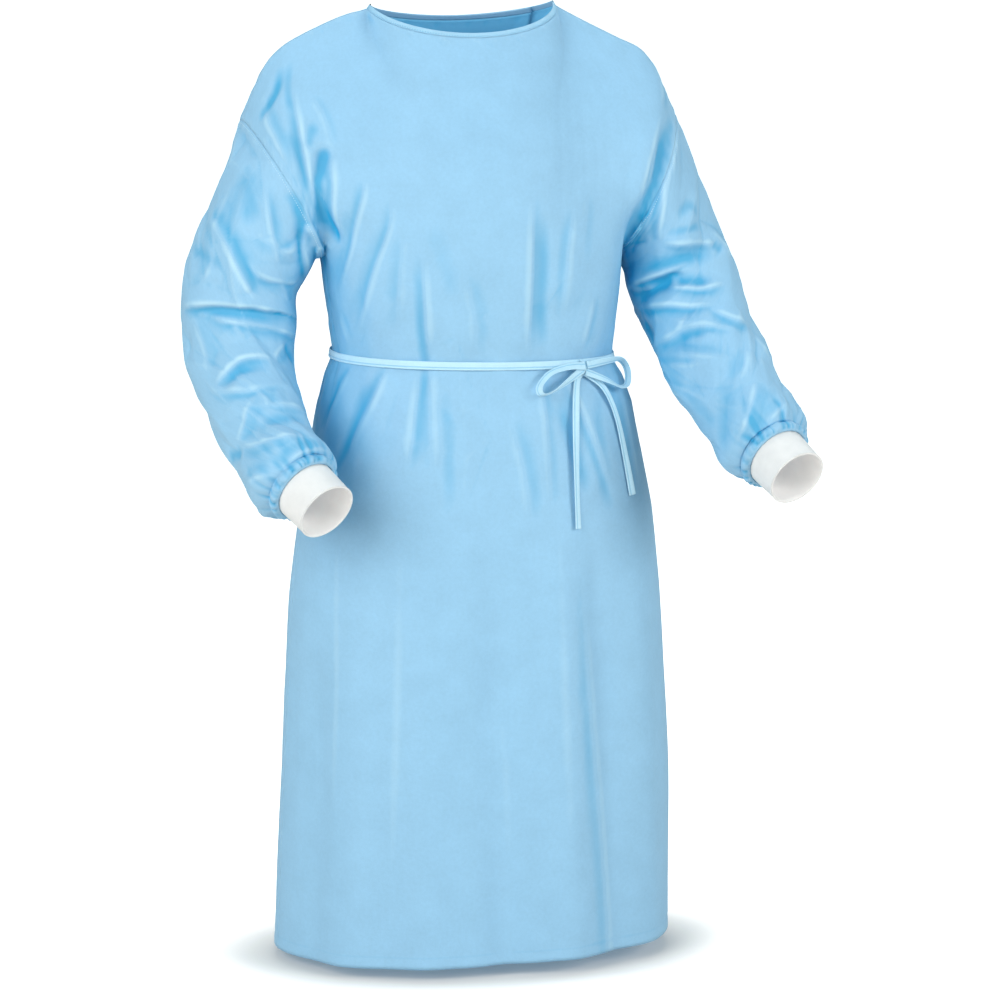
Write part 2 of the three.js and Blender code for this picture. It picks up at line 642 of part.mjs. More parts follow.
const leaningOut = (way, share) => {
  const atBend = smooth(1 - Math.abs(share - LOOP_BEND) / LOOP_BEND_REACH);
  const atKnot = smooth(1 - Math.min(share, 1 - share) / LOOP_END_REACH);
  const lean = mix(mix(LOOP_LEAN, LOOP_BEND_LEAN, atBend), LOOP_END_LEAN, atKnot);
  return flatOnCloth(way).lerp(outwardHere, lean).normalize();
};

// The knot is a small squarish lump of tape in front of the belt.
function knotGeometry(grow) {
  const lump = new THREE.SphereGeometry(1, 10, 6);
  lump.deleteAttribute("normal");
  lump.deleteAttribute("uv");
  const geometry = mergeVertices(lump, 1e-4);
  const place = geometry.getAttribute("position");
  const squarer = (v) => Math.sign(v) * Math.abs(v) ** 0.75;
  const out = CLOTH / 2 + TAPE + 3 * SEAM_GAP + KNOT.deep / 2;
  const middle = knotSeat.clone().addScaledVector(outwardHere, out);
  const sizes = [KNOT.wide / 2 + grow, KNOT.deep / 2 + grow, KNOT.high / 2 + grow];
  const side = outwardHere.clone().cross(vec(0, 0, 1)).normalize();
  const frame = [side, outwardHere, vec(0, 0, 1)];
  for (let k = 0; k < place.count; k += 1) {
    const local = [place.getX(k), place.getY(k), place.getZ(k)].map(squarer);
    const p = middle.clone();
    local.forEach((v, axis) => p.addScaledVector(frame[axis], v * sizes[axis]));
    place.setXYZ(k, p.x, p.y, p.z);
  }
  geometry.computeVertexNormals();
  return geometry;
}

// Cuts a tape where it runs into the knot and keeps its longest stretch.
const solids = await Module();
solids.setup();
function solidOf(geometry) {
  const bare = new THREE.BufferGeometry();
  bare.setAttribute("position", geometry.getAttribute("position").clone());
  bare.setIndex(geometry.index.clone());
  const merged = mergeVertices(bare, 1e-4);
  const mesh = new solids.Mesh({
    numProp: 3,
    vertProperties: merged.getAttribute("position").array,
    triVerts: new Uint32Array(merged.index.array),
  });
  return new solids.Manifold(mesh);
}
function clearOfKnot(geometry) {
  const stretches = solidOf(geometry).subtract(solidOf(knotGeometry(SEAM_GAP))).decompose();
  const longest = stretches.reduce((a, b) => (b.volume() > a.volume() ? b : a));
  const mesh = longest.getMesh();
  const cut = new THREE.BufferGeometry();
  cut.setAttribute("position", new THREE.Float32BufferAttribute(mesh.vertProperties, 3));
  cut.setIndex(Array.from(mesh.triVerts));
  cut.computeVertexNormals();
  return cut;
}

const pieces = [
  front,
  backLeft,
  backRight,
  ...[0, 1, 2].map((length) => sleeve("right", length)),
  ...[0, 1, 2].map((length) => sleeve("left", length)),
];
pieces.forEach(shareSeams);
pieces.forEach(takeSeams);
pieces.forEach(drawBack);
const loose = [
  cuff("right"),
  cuff("left"),
  binding,
  belt,
  tapeAlong("bow_loop_rightward", LOOP_RIGHTWARD, LOOP_STEPS, leaningOut),
  tapeAlong("bow_loop_leftward", LOOP_LEFTWARD, LOOP_STEPS, leaningOut),
  tapeAlong("belt_tail_rightward", TAIL_RIGHTWARD, TAIL_STEPS, flatOnCloth),
  tapeAlong("belt_tail_leftward", TAIL_LEFTWARD, TAIL_STEPS, flatOnCloth),
];
for (const piece of loose) {
  piece.normals = gridNormals(piece.grid, piece.round);
  piece.common = piece.normals;
}

const MATERIALS = {
  cloth: new THREE.MeshStandardMaterial({ color: 0x97cbec, roughness: 0.7, side: THREE.DoubleSide }),
  tape: new THREE.MeshStandardMaterial({ color: 0xaddbf5, roughness: 0.6 }),
  knit: new THREE.MeshStandardMaterial({ color: 0xf3f2ef, roughness: 0.9 }),
};
const materialOf = (name) => {
  if (name.startsWith("cuff")) return MATERIALS.knit;
  if (/binding|belt|bow|knot/.test(name)) return MATERIALS.tape;
  return MATERIALS.cloth;
};

const gown = new THREE.Group();
gown.name = "isolation_gown";
function addMesh(name, geometry) {
  const mesh = new THREE.Mesh(geometry, materialOf(name));
  mesh.name = name;
  gown.add(mesh);
}
for (const piece of [...pieces, ...loose]) {
  const geometry = wallGeometry(piece);
  addMesh(piece.name, /loop|tail/.test(piece.name) ? clearOfKnot(geometry) : geometry);
}
addMesh("belt_knot", knotGeometry(0));

export default gown;
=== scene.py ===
import math

import bmesh
import bpy
import numpy as np
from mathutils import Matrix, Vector
from mathutils.bvhtree import BVHTree


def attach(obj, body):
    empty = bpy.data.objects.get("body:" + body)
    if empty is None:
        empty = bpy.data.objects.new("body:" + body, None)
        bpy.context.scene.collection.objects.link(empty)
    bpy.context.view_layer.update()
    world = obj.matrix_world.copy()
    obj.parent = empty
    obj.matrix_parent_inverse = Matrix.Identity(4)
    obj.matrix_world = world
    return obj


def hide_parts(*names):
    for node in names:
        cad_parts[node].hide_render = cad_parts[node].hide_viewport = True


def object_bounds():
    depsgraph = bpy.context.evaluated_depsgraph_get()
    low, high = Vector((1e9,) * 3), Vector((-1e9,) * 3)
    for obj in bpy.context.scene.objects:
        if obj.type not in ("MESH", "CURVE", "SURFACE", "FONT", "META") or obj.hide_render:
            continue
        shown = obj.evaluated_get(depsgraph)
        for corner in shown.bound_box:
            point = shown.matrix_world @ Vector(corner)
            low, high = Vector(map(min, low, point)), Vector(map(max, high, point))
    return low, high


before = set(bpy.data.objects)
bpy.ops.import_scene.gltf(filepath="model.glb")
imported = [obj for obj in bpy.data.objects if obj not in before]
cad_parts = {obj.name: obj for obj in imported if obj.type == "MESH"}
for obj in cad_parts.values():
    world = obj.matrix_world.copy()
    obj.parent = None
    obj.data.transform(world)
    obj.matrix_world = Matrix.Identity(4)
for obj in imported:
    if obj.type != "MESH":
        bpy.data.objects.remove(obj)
cad_low, cad_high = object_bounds()


# ---- camera, floor and light ---------------------------------------------------------------
# The gown stands just above a plain white floor, seen a little from its own right and from
# above, through a long lens. A large soft light stands in front and to the left, a smaller one
# in front and to the right, and a weak one above and behind.
CAMERA_PLACE = (-1.5393, -6.3631, 0.4976)
CAMERA_AIM = (0.0355, -0.0470, -0.5917)
CAMERA_LENS = 198.0
WHITE = (1.0, 1.0, 1.0)
SKY_BLUE = (0.54, 0.85, 1.0)
SKY_STRENGTH = 0.36
FLOOR_WHITE = (0.83, 0.76, 0.70)
FLOOR_BELOW_HEM = 0.012
FLOOR_HALF = 30.0
# The floor is shaded in an oval under the hem, and glows white from a little way off.
SHADED_MIDDLE = (0.0, -0.047, 0.0)
SHADED_SIZE = (0.245, 0.174, 100.0)
SHADED_TO = 0.95
GLOWS_FROM = 1.65
SHADED_GLOW = 0.12

scene = bpy.context.scene


def aimed(name, data, place, aim):
    """A camera or a light that looks at a point."""
    made = bpy.data.objects.new(name, data)
    scene.collection.objects.link(made)
    made.location = place
    made.rotation_euler = (Vector(aim) - Vector(place)).to_track_quat("-Z", "Y").to_euler()
    return made


def soft_light(name, place, aim, size, power):
    """A square soft box that shines at a point of the gown."""
    data = bpy.data.lights.new(name, "AREA")
    data.shape = "SQUARE"
    data.size = size
    data.energy = power
    aimed(name, data, place, aim)


def feed(node, feeds):
    """Feeds a node's inputs: a socket is linked, and anything else is set as a value."""
    for name, value in feeds.items():
        slot = node.inputs[name]
        if isinstance(value, bpy.types.NodeSocket):
            node.id_data.links.new(value, slot)
        elif slot.type == "RGBA":
            slot.default_value = (*value, 1.0)
        else:
            slot.default_value = value


def add_node(tree, kind, feeds, **settings):
    """A node with its settings made and its inputs fed."""
    node = tree.nodes.new(kind)
    for name, value in settings.items():
        setattr(node, name, value)
    feed(node, feeds)
    return node


def maths(tree, operation, *values):
    """A Math node fed by sockets or plain numbers."""
    return add_node(tree, "ShaderNodeMath", dict(enumerate(values)), operation=operation).outputs[0]


def spread(tree, value, low, high, low_to=0.0, high_to=1.0, **settings):
    """Maps low..high to 0..1, or to two other numbers, clamped."""
    feeds = {"Value": value, "From Min": low, "From Max": high, "To Min": low_to, "To Max": high_to}
    return add_node(tree, "ShaderNodeMapRange", feeds, **settings).outputs["Result"]


def new_material(name, feeds):
    """A material with its node tree and its Principled shader, whose plain values are given."""
    made = bpy.data.materials.new(name)
    made.use_nodes = True
    shader = made.node_tree.nodes["Principled BSDF"]
    feed(shader, feeds)
    return made, made.node_tree, shader


lens = bpy.data.cameras.new("camera")
lens.lens = CAMERA_LENS
lens.sensor_width = 36.0
lens.clip_end = 60.0
scene.camera = aimed("camera", lens, CAMERA_PLACE, CAMERA_AIM)
scene.view_settings.view_transform = "Standard"

# The sky is white to look at, but lights the gown in pale blue.
world = bpy.data.worlds.new("studio")
world.use_nodes = True
scene.world = world
sky = world.node_tree
sky.nodes.clear()
seen = add_node(sky, "ShaderNodeBackground", {"Color": WHITE, "Strength": 1.0})
lit = add_node(sky, "ShaderNodeBackground", {"Color": SKY_BLUE, "Strength": SKY_STRENGTH})
to_camera = add_node(sky, "ShaderNodeLightPath", {}).outputs["Is Camera Ray"]
choice = add_node(sky, "ShaderNodeMixShader", {0: to_camera, 1: lit.outputs[0], 2: seen.outputs[0]})
add_node(sky, "ShaderNodeOutputWorld", {"Surface": choice.outputs[0]})

soft_light("key_light", (-3.0, -2.5, 1.0), (0.0, 0.0, -0.35), 2.8, 118.0)
soft_light("fill_light", (2.9, -2.8, 0.8), (0.0, 0.0, -0.35), 1.8, 82.0)
soft_light("top_light", (0.2, 0.9, 2.4), (0.0, 0.0, -0.3), 1.8, 30.0)

floor_z = cad_low[2] - FLOOR_BELOW_HEM
floor_mesh = bpy.data.meshes.new("floor")
floor_corners = [(x * FLOOR_HALF, y * FLOOR_HALF, floor_z) for x, y in ((-1, -1), (1, -1), (1, 1), (-1, 1))]
floor_mesh.from_pydata(floor_corners, [], [(0, 1, 2, 3)])
floor = bpy.data.objects.new("floor", floor_mesh)
scene.collection.objects.link(floor)
floor_white, tree, shader = new_material("floor_white", {"Base Color": FLOOR_WHITE, "Roughness": 0.9})
place = add_node(tree, "ShaderNodeTexCoord", {}).outputs["Object"]
oval = {"Vector": place, "Location": SHADED_MIDDLE, "Scale": SHADED_SIZE}
oval = add_node(tree, "ShaderNodeMapping", oval, vector_type="TEXTURE").outputs["Vector"]
far = add_node(tree, "ShaderNodeVectorMath", {0: oval}, operation="LENGTH").outputs["Value"]
glow = spread(tree, far, SHADED_TO, GLOWS_FROM, SHADED_GLOW, interpolation_type="SMOOTHSTEP")
to_camera = add_node(tree, "ShaderNodeLightPath", {}).outputs["Is Camera Ray"]
feed(shader, {"Emission Color": WHITE, "Emission Strength": maths(tree, "MULTIPLY", glow, to_camera)})
floor_mesh.materials.append(floor_white)


# ---- the form of the body ------------------------------------------------------------------
# All the panels are cut so that, sewn together, they stand out as one hollow form: rings from
# hem to armpits, then a yoke that rises to the neck edge and the two shoulder lines.
# Sizes are in millimetres until a mesh is made.
MM = 0.001
HEM_Z = -1122.0
ARMPIT_Z = -288.0
YOKE_RISE = 290.0
TOP = ARMPIT_Z + YOKE_RISE
AXIS_Y = -47.0
NECK_SHARE = 0.42
BELT_LEVEL = -413.0

# Columns: z, half width, depth before and behind the axis, squareness, shift, tilt.
RINGS = np.array([
    (HEM_Z, 241, 170, 170, 0.02, 0, 4),
    (-1000, 239, 166, 166, 0.02, 3, 3),
    (-900, 236, 161, 161, 0.03, 5, 2),
    (-800, 231, 155, 156, 0.03, 5, 1),
    (-700, 225, 151, 150, 0.03, 5, 0),
    (-600, 214, 142, 142, 0.03, 6, 0),
    (-528, 202, 134, 134, 0.03, 5, -1),
    (-470, 191, 125, 124, 0.03, 4, -3),
    (-437, 180, 118, 116, 0.03, 2, -4),
    (BELT_LEVEL, 170, 112, 108, 0.03, 1, -5),
    (-385, 172, 115, 110, 0.04, 1, -3),
    (-335, 178, 119, 113, 0.05, 1, -1),
    (ARMPIT_Z, 183, 121, 114, 0.06, 0, 0),
])
# Columns: distance out from the middle, y, z, from the neck point to the sleeve's top.
SHOULDERS = {
    -1: np.array([(115, 0, -3), (150, -8, -11), (200, -19, -31), (226, -23, -46),
                  (244, -22, -66), (259, -16, -100), (269, -8, -131)], float),
    1: np.array([(115, 0, -3), (146, -8, -20), (187, -18, -41), (213, -23, -54),
                 (229, -22, -72), (243, -16, -98), (257, -8, -130)], float),
}
NECK = {"half": 115, "front": 83, "front_drop": 33, "back": 48, "back_drop": 22, "point_drop": 3}
ARMHOLE = {"out": 183, "front": 78, "back": 76}
FULLNESS = {"front": -31, "back": 30}


def smooth(t):
    t = np.clip(t, 0.0, 1.0)
    return t * t * (3 - 2 * t)


def along(rows, place):
    """A smooth curve through the rows of a table: place counts rows from 0."""
    last = len(rows) - 1
    padded = np.vstack([2 * rows[0] - rows[1], rows, 2 * rows[last] - rows[last - 1]])
    place = np.clip(place, 0, last)
    i = np.minimum(np.floor(place).astype(int), last - 1)
    t = (place - i)[..., None]
    before, start, end, after = (padded[i + k] for k in range(4))
    pull, push = (end - before) / 2, (after - start) / 2
    eased = t * t * (3 - 2 * t)
    made = start * (1 - eased) + end * eased
    return made + pull * t * (1 - t) ** 2 - push * t * t * (1 - t)


def stack(x, y, z):
    return np.stack(np.broadcast_arrays(x, y, z), axis=-1).astype(float)


def ring_point(face, across, z):
    ring = along(RINGS, np.interp(z, RINGS[:, 0], np.arange(len(RINGS))))
    half, front, back, square, shift, tilt = (ring[..., k] for k in range(1, 7))
    angle = across * math.pi / 2
    corner = 1 + square * np.sin(2 * angle) ** 2
    depth = -front if face == "front" else back
    x = shift + half * np.sin(angle) * corner
    return stack(x, AXIS_Y + depth * np.cos(angle) * corner, z + tilt * np.sin(angle))


def shoulder_point(side, share):
    row = along(SHOULDERS[side], share * (len(SHOULDERS[side]) - 1))
    return stack(side * row[..., 0], row[..., 1], row[..., 2])


def top_point(face, across):
    """The upper edge of a panel: the neckline in the middle and the shoulder seam beside it."""
    out = (np.abs(across) - NECK_SHARE) / (1 - NECK_SHARE)
    seam = np.where((across < 0)[..., None], shoulder_point(-1, out), shoulder_point(1, out))
    turn = np.clip(across / NECK_SHARE, -1, 1) * math.pi / 2
    depth = -NECK["front"] if face == "front" else NECK["back"]
    drop = NECK["front_drop" if face == "front" else "back_drop"] - NECK["point_drop"]
    dip = np.maximum(np.cos(turn), 0) ** 1.2
    neck = stack(NECK["half"] * np.sin(turn), depth * np.cos(turn), -NECK["point_drop"] - drop * dip)
    return np.where((out >= 0)[..., None], seam, neck)


def armhole_frame(side):
    bottom = np.array([side * ARMHOLE["out"], AXIS_Y, ARMPIT_Z])
    top = shoulder_point(side, np.array(1.0))
    middle = (bottom + top) / 2
    return middle, bottom - middle


def armhole_point(side, turn):
    """Turn 0 is the armpit, a quarter turn the front, half a turn the shoulder."""
    middle, under = armhole_frame(side)
    turn = np.asarray(turn, float)
    reach = np.where(np.sin(turn) > 0, ARMHOLE["front"], ARMHOLE["back"])
    place = middle + under * np.cos(turn)[..., None]
    place[..., 1] -= reach * np.sin(turn)
    return place


def yoke_point(face, across, rise):
    low = ring_point(face, across, np.full_like(across, ARMPIT_Z))
    made = low + (top_point(face, across) - low) * rise[..., None]
    turn = math.pi * rise * (1 if face == "front" else -1)
    share = np.abs(across)
    bowed = share ** (2.4 + 2 * (1 - smooth(rise / 0.45)))
    added = np.zeros_like(made)
    for side in (-1, 1):
        pit, top = armhole_point(side, 0.0), armhole_point(side, math.pi)
        bow = armhole_point(side, turn) - (pit + (top - pit) * rise[..., None])
        edge = ring_point(face, np.array(float(side)), np.array(ARMPIT_Z))
        corner = (share ** 8 * (1 - rise))[..., None] * (pit - edge)
        here = (across < 0) == (side < 0)
        added += np.where(here[..., None], bow * bowed[..., None] + corner, 0.0)
    made = made + added
    made[..., 1] += FULLNESS[face] * (1 - share**2) * np.sin(math.pi * rise)
    return made


def raw_body(face, across, height):
    below = ring_point(face, across, np.minimum(height, ARMPIT_Z))
    rise = np.maximum(height - ARMPIT_Z, 0) / YOKE_RISE
    return np.where((height <= ARMPIT_Z)[..., None], below, yoke_point(face, across, rise))


def body_point(face, across, height):
    """The common form with its bends eased, as cloth takes no sharp ones inside a panel."""
    inside = smooth((1 - np.abs(across)) / 0.35)
    below = smooth((TOP - height) / 110) * smooth((height - HEM_Z) / 90)
    level = 42 * inside * below * smooth((height + 380) / 60)
    width = 0.13 * inside * smooth((height - ARMPIT_Z + 60) / 90) * below
    total = 0.0
    for up in (-1, -0.5, 0, 0.5, 1):
        for over in (-1, -0.5, 0, 0.5, 1):
            total = total + raw_body(face, across + over * width, height + up * level)
    return total / 25


# Columns of the arm tables: middle of the ring (x, y, z), its reach towards the body and
# towards the front, and how far it has turned from the armhole's plane to lie square.
ARMS = {
    -1: np.array([(-240, -28, -243, 74, 76, 0.45), (-262, -31, -284, 70, 74, 0.8),
                  (-278, -33, -325, 67, 71, 1), (-282, -38, -365, 66, 67, 1),
                  (-283, -52, -405, 62, 62, 1), (-278, -80, -444, 58, 58, 1),
                  (-270, -122, -484, 54, 55, 1), (-260, -160, -509, 52, 53, 1),
                  (-252, -190, -524, 54, 53, 1), (-246, -205, -533, 47, 47, 1),
                  (-240, -216, -540, 37, 37, 1)]),
    1: np.array([(233, -27, -252, 66, 74, 0.45), (248, -31, -289, 62, 72, 0.8),
                 (258, -37, -322, 65, 68, 1), (270, -50, -355, 66, 64, 1),
                 (278, -80, -390, 62, 61, 1), (283, -118, -420, 59, 58, 1),
                 (290, -158, -450, 55, 55, 1), (299, -196, -478, 53, 53, 1),
                 (307, -225, -500, 54, 53, 1), (313, -240, -510, 47, 47, 1),
                 (318, -252, -517, 37, 37, 1)]),
}


def unit(v):
    return v / np.linalg.norm(v)


def arm_stations(side):
    """Middle, way to the underarm and way to the front of each ring, as one table."""
    middle, under = armhole_frame(side)
    fore = np.array([0.0, -ARMHOLE["front"], 0.0])
    middles = [middle, *ARMS[side][:, :3]]
    plane_way = unit(np.cross(under, fore) * -side)
    inward = unit(under)
    stations = [np.concatenate([middle, under, fore])]
    for k, row in enumerate(ARMS[side]):
        ahead = middles[min(len(middles) - 1, k + 2)]
        arm_way = unit(ahead - middles[k])
        way = unit(plane_way + (arm_way - plane_way) * row[5])
        inward = unit(inward - way * (inward @ way))
        to_front = np.cross(way, inward) * -side
        stations.append(np.concatenate([row[:3], inward * row[3], to_front * row[4]]))
    return np.array(stations)


STATIONS = {side: arm_stations(side) for side in (-1, 1)}


def sleeve_point(side, turn, share):
    """Share runs from 0 at the armhole to 1 at the cuff."""
    s = along(STATIONS[side], share * (len(STATIONS[side]) - 1))
    c, f = np.cos(turn)[..., None], np.sin(turn)[..., None]
    ring = s[..., 0:3] + c * s[..., 3:6] + f * s[..., 6:9]
    return np.where((share <= 0)[..., None], armhole_point(side, turn), ring)


# ---- spun cloth ----------------------------------------------------------------------------
# Light blue nonwoven of thin layers, bonded in a close grid of tiny points. It is matt and a
# little cloudy. A painted highlight makes it paler on fold crests, and painted shade makes it
# a deeper blue in the hollows and in shut-in places.
PAINTED_HIGHLIGHT_BLUE = (0.54, 0.76, 0.87)
CLOTH_BLUE = (0.326, 0.570, 0.765)
PAINTED_SHADE_BLUE = (0.022, 0.365, 0.635)
SHEEN_BLUE = (0.80, 0.93, 1.0)
BLACK = (0.0, 0.0, 0.0)
FIBRE_SCALE = 520.0
CLOUD_SCALE = 24.0
BOND_PITCH = 0.0016
BOND_SHARE = 0.72
SPUN_RELIEF = 0.0004

# The inner face glows a little: painted light that stands in for what the thin cloth lets through.
INSIDE_GLOW = (0.028, 0.080, 0.105)


def new_group(name, kind, inputs, outputs):
    """A node group with named sockets, each given its kind, or its value where it is a float."""
    group = bpy.data.node_groups.new(name, kind)
    for way, sockets in (("INPUT", inputs), ("OUTPUT", outputs)):
        for title, given in sockets.items():
            of_kind = given if isinstance(given, str) else "Float"
            made = group.interface.new_socket(title, in_out=way, socket_type="NodeSocket" + of_kind)
            if given is not of_kind:
                made.default_value = given
    return group, add_node(group, "NodeGroupInput", {}).outputs, add_node(group, "NodeGroupOutput", {})


def noise(tree, vector, scale, detail, roughness=0.5):
    feeds = {"Vector": vector, "Scale": scale, "Detail": detail, "Roughness": roughness}
    return add_node(tree, "ShaderNodeTexNoise", feeds).outputs["Fac"]


def spun_group():
    """Cloudiness and surface height of spun cloth: the vector is in metres along the cloth."""
    inputs = {"Vector": "Vector", "Fibre Scale": FIBRE_SCALE, "Cloud Scale": CLOUD_SCALE,
              "Bond Pitch": BOND_PITCH}
    group, given, result = new_group("spun_cloth", "ShaderNodeTree", inputs,
                                     {"Cloud": "Float", "Height": "Float"})
    fibre = noise(group, given["Vector"], given["Fibre Scale"], 3.0, 0.6)
    cloud = noise(group, given["Vector"], given["Cloud Scale"], 5.0, 0.62)
    grain = noise(group, given["Vector"], maths(group, "MULTIPLY", given["Cloud Scale"], 9.0), 2.0)
    parts = add_node(group, "ShaderNodeSeparateXYZ", {0: given["Vector"]}).outputs
    step = maths(group, "DIVIDE", 2 * math.pi, given["Bond Pitch"])
    waves = [maths(group, "SINE", maths(group, "MULTIPLY", part, step)) for part in parts[:2]]
    bond = maths(group, "ABSOLUTE", maths(group, "MULTIPLY", *waves))
    bond = maths(group, "MAXIMUM", maths(group, "SUBTRACT", bond, BOND_SHARE), 0.0)
    mixed = maths(group, "MULTIPLY_ADD", grain, 0.35, maths(group, "MULTIPLY", cloud, 0.65))
    mixed = maths(group, "MULTIPLY_ADD", fibre, 0.25, mixed)
    height = maths(group, "MULTIPLY_ADD", bond, -1.6, fibre)
    height = maths(group, "MULTIPLY_ADD", grain, 0.8, height)
    feed(result, {"Cloud": mixed, "Height": height})
    return group


def colour_mix(tree, fac, first, second):
    """Mixes two colours, each a socket or three numbers, by a socket from 0 to 1."""
    feeds = {"Factor": fac, 6: first, 7: second}
    return add_node(tree, "ShaderNodeMix", feeds, data_type="RGBA").outputs[2]


def shades_of(colour, darker, lighter):
    """A darker and a lighter shade of a colour."""
    return tuple(c * darker for c in colour), tuple(min(1, c * lighter) for c in colour)


def attribute(tree, name):
    return add_node(tree, "ShaderNodeAttribute", {}, attribute_name=name).outputs["Fac"]


def along_cloth(tree, group):
    """What an effect group puts out along the cloth's own coordinates."""
    place = add_node(tree, "ShaderNodeUVMap", {}, uv_map="cloth").outputs["UV"]
    return add_node(tree, "ShaderNodeGroup", {"Vector": place}, node_tree=group).outputs


def relief(tree, height, strength, distance):
    feeds = {"Strength": strength, "Distance": distance, "Height": height}
    return add_node(tree, "ShaderNodeBump", feeds).outputs["Normal"]


SPUN = spun_group()


def spun_material(name, colour, bump, sheen):
    """Spun cloth: its fold attribute runs from -1 in hollows to 1 on ridges, its shade attribute
    says how shut in a place is, and its inside attribute is 1 on the inner face. Ridges get a
    painted highlight, hollows and shut-in places painted shade, and the inner face a painted glow."""
    plain = {"Roughness": 0.62, "Specular IOR Level": 0.32, "Sheen Weight": sheen, "Sheen Roughness": 0.45,
             "Sheen Tint": SHEEN_BLUE, "Emission Strength": 1.0}
    made, tree, shader = new_material(name, plain)
    spun = along_cloth(tree, SPUN)
    fold_here = attribute(tree, "fold")
    base = colour_mix(tree, spread(tree, spun["Cloud"], 0.42, 0.84), *shades_of(colour, 0.94, 1.06))
    # painted highlight: crests are mixed towards a paler blue
    ridge = maths(tree, "MULTIPLY", spread(tree, fold_here, 0.10, 0.85), 0.85)
    base = colour_mix(tree, ridge, base, PAINTED_HIGHLIGHT_BLUE)
    # painted shade: hollows and shut-in places are mixed towards a deep blue
    sunk = spread(tree, maths(tree, "MULTIPLY", fold_here, -1.0), 0.08, 1.1)
    shut_in = spread(tree, attribute(tree, "shade"), 0.11, 0.80)
    hollow = maths(tree, "ADD", maths(tree, "MULTIPLY", sunk, 0.85), shut_in)
    base = colour_mix(tree, maths(tree, "MINIMUM", hollow, 1.0), base, PAINTED_SHADE_BLUE)
    feed(shader, {
        "Base Color": base,
        # painted light: the inner face glows
        "Emission Color": colour_mix(tree, attribute(tree, "inside"), BLACK, INSIDE_GLOW),
        "Normal": relief(tree, spun["Height"], bump, SPUN_RELIEF),
    })
    return made


gown_cloth = spun_material("gown_cloth", CLOTH_BLUE, 0.35, 0.22)


# ---- folds, and cloth made from a grid of points -------------------------------------------
# A fold is a soft or crisp line pressed into the cloth: it has a path, a reach to each side, a
# rise (below zero for a trough), a crispness, a lean that makes one side steeper, and the share
# of its length over which it rises from nothing at each end.
def fold(reach, rise, crisp, path, lean=0.0, fade=(0.3, 0.3)):
    return {"path": path, "reach": reach, "rise": rise, "crisp": crisp, "lean": lean, "fade": fade}


def units(ways):
    return ways / np.linalg.norm(ways, axis=-1, keepdims=True)


def grid_normals(grid, wrap):
    if wrap:
        wide = np.concatenate([grid[:, -1:], grid, grid[:, :1]], axis=1)
        over = wide[:, 2:] - wide[:, :-2]
    else:
        over = np.gradient(grid, axis=1)
    return units(np.cross(over, np.gradient(grid, axis=0)))


# How many places of a fold's path are laid out on the cloth.
PATH_STEPS = 16


def nearest_on_path(points, path):
    """For each point: distance to a polyline, place along it from 0 to 1, nearest leg."""
    best = np.full(len(points), 1e9)
    place = np.zeros(len(points))
    offset = np.zeros_like(points)
    legs = len(path) - 1
    for k in range(legs):
        leg = path[k + 1] - path[k]
        t = np.clip((points - path[k]) @ leg / (leg @ leg), 0, 1)
        away = points - path[k] - t[:, None] * leg
        distance = np.einsum("ij,ij->i", away, away)
        closer = distance < best
        best = np.where(closer, distance, best)
        place = np.where(closer, (k + t) / legs, place)
        offset = np.where(closer[:, None], away, offset)
    return np.sqrt(best), place, offset


# A fold is marked in full from this rise, and the painted highlight on its crest is drawn this
# wide, in millimetres.
FULL_RISE = 5.0
CREST_HIGHLIGHT_WIDTH = 2.6


def press(points, normals, folds):
    """The rise of all the folds at each point, and a mark from -1 in hollows to 1 on crests, which
    the material turns into painted shade and painted highlight. Crisp folds don't pile up where
    they meet. A crisp fold has flat sides that meet in an edge, narrows to a point at its ends,
    and has a steeper side with painted shade marked beside it."""
    soft, ridges, troughs, crest, hollow = np.zeros((5, len(points)))
    for f in folds:
        path, out = f["points"], f["normals"]
        margin = 2.0 * f["reach"] * (1 + abs(f["lean"]))
        near = np.all((points > path.min(0) - margin) & (points < path.max(0) + margin), axis=1)
        near = np.nonzero(near)[0]
        if not len(near):
            continue
        distance, place, offset = nearest_on_path(points[near], path)
        spot = np.round(place * (len(path) - 1)).astype(int)
        start, end = f["fade"]
        full = np.ones(len(near))
        if start:
            full = full * np.clip(place / start, 0, 1)
        if end:
            full = full * np.clip((1 - place) / end, 0, 1)
        facing = smooth(((normals[near] * out[spot]).sum(1) + 0.1) / 0.5)
        strength = min(1.0, abs(f["rise"]) / FULL_RISE) * facing * full
        if f["crisp"] == 0:
            r = distance / f["reach"]
            soft[near] += f["rise"] * facing * smooth(full) * np.exp(-1.7 * r * r)
            # a soft trough is marked for painted shade
            if f["rise"] < 0:
                hollow[near] = np.maximum(hollow[near], strength * np.exp(-2.4 * r * r))
            continue
        sideways = np.cross(np.gradient(path, axis=0), out)
        side = np.sign((offset * sideways[spot]).sum(1))
        reach = f["reach"] * (1 + f["lean"] * side) * (0.4 + 0.6 * full)
        r = distance / reach
        edge = 0.10 * (1 - f["crisp"]) + 2.2 / f["reach"]
        flat = np.clip(1 + edge - np.sqrt(r * r + edge**2), 0, 1)
        rise = f["rise"] * facing * full * flat ** (1 + 0.5 * (1 - f["crisp"]))
        if f["rise"] > 0:
            ridges[near] = np.maximum(ridges[near], rise)
        else:
            troughs[near] = np.minimum(troughs[near], rise)
        # painted highlight along the crest
        line = strength * np.exp(-((distance / CREST_HIGHLIGHT_WIDTH) ** 2))
        crest[near] = np.maximum(crest[near], line)
        # painted shade beside the steep side
        beside = distance / (f["reach"] * (1 - abs(f["lean"])) + 4)
        shut = smooth(beside / 0.2) * np.exp(-((np.maximum(beside - 0.6, 0) / 0.8) ** 2))
        shut = 0.72 * strength * shut * (side * f["lean"] < 0)
        hollow[near] = np.maximum(hollow[near], shut)
    return soft + ridges + troughs, crest - hollow


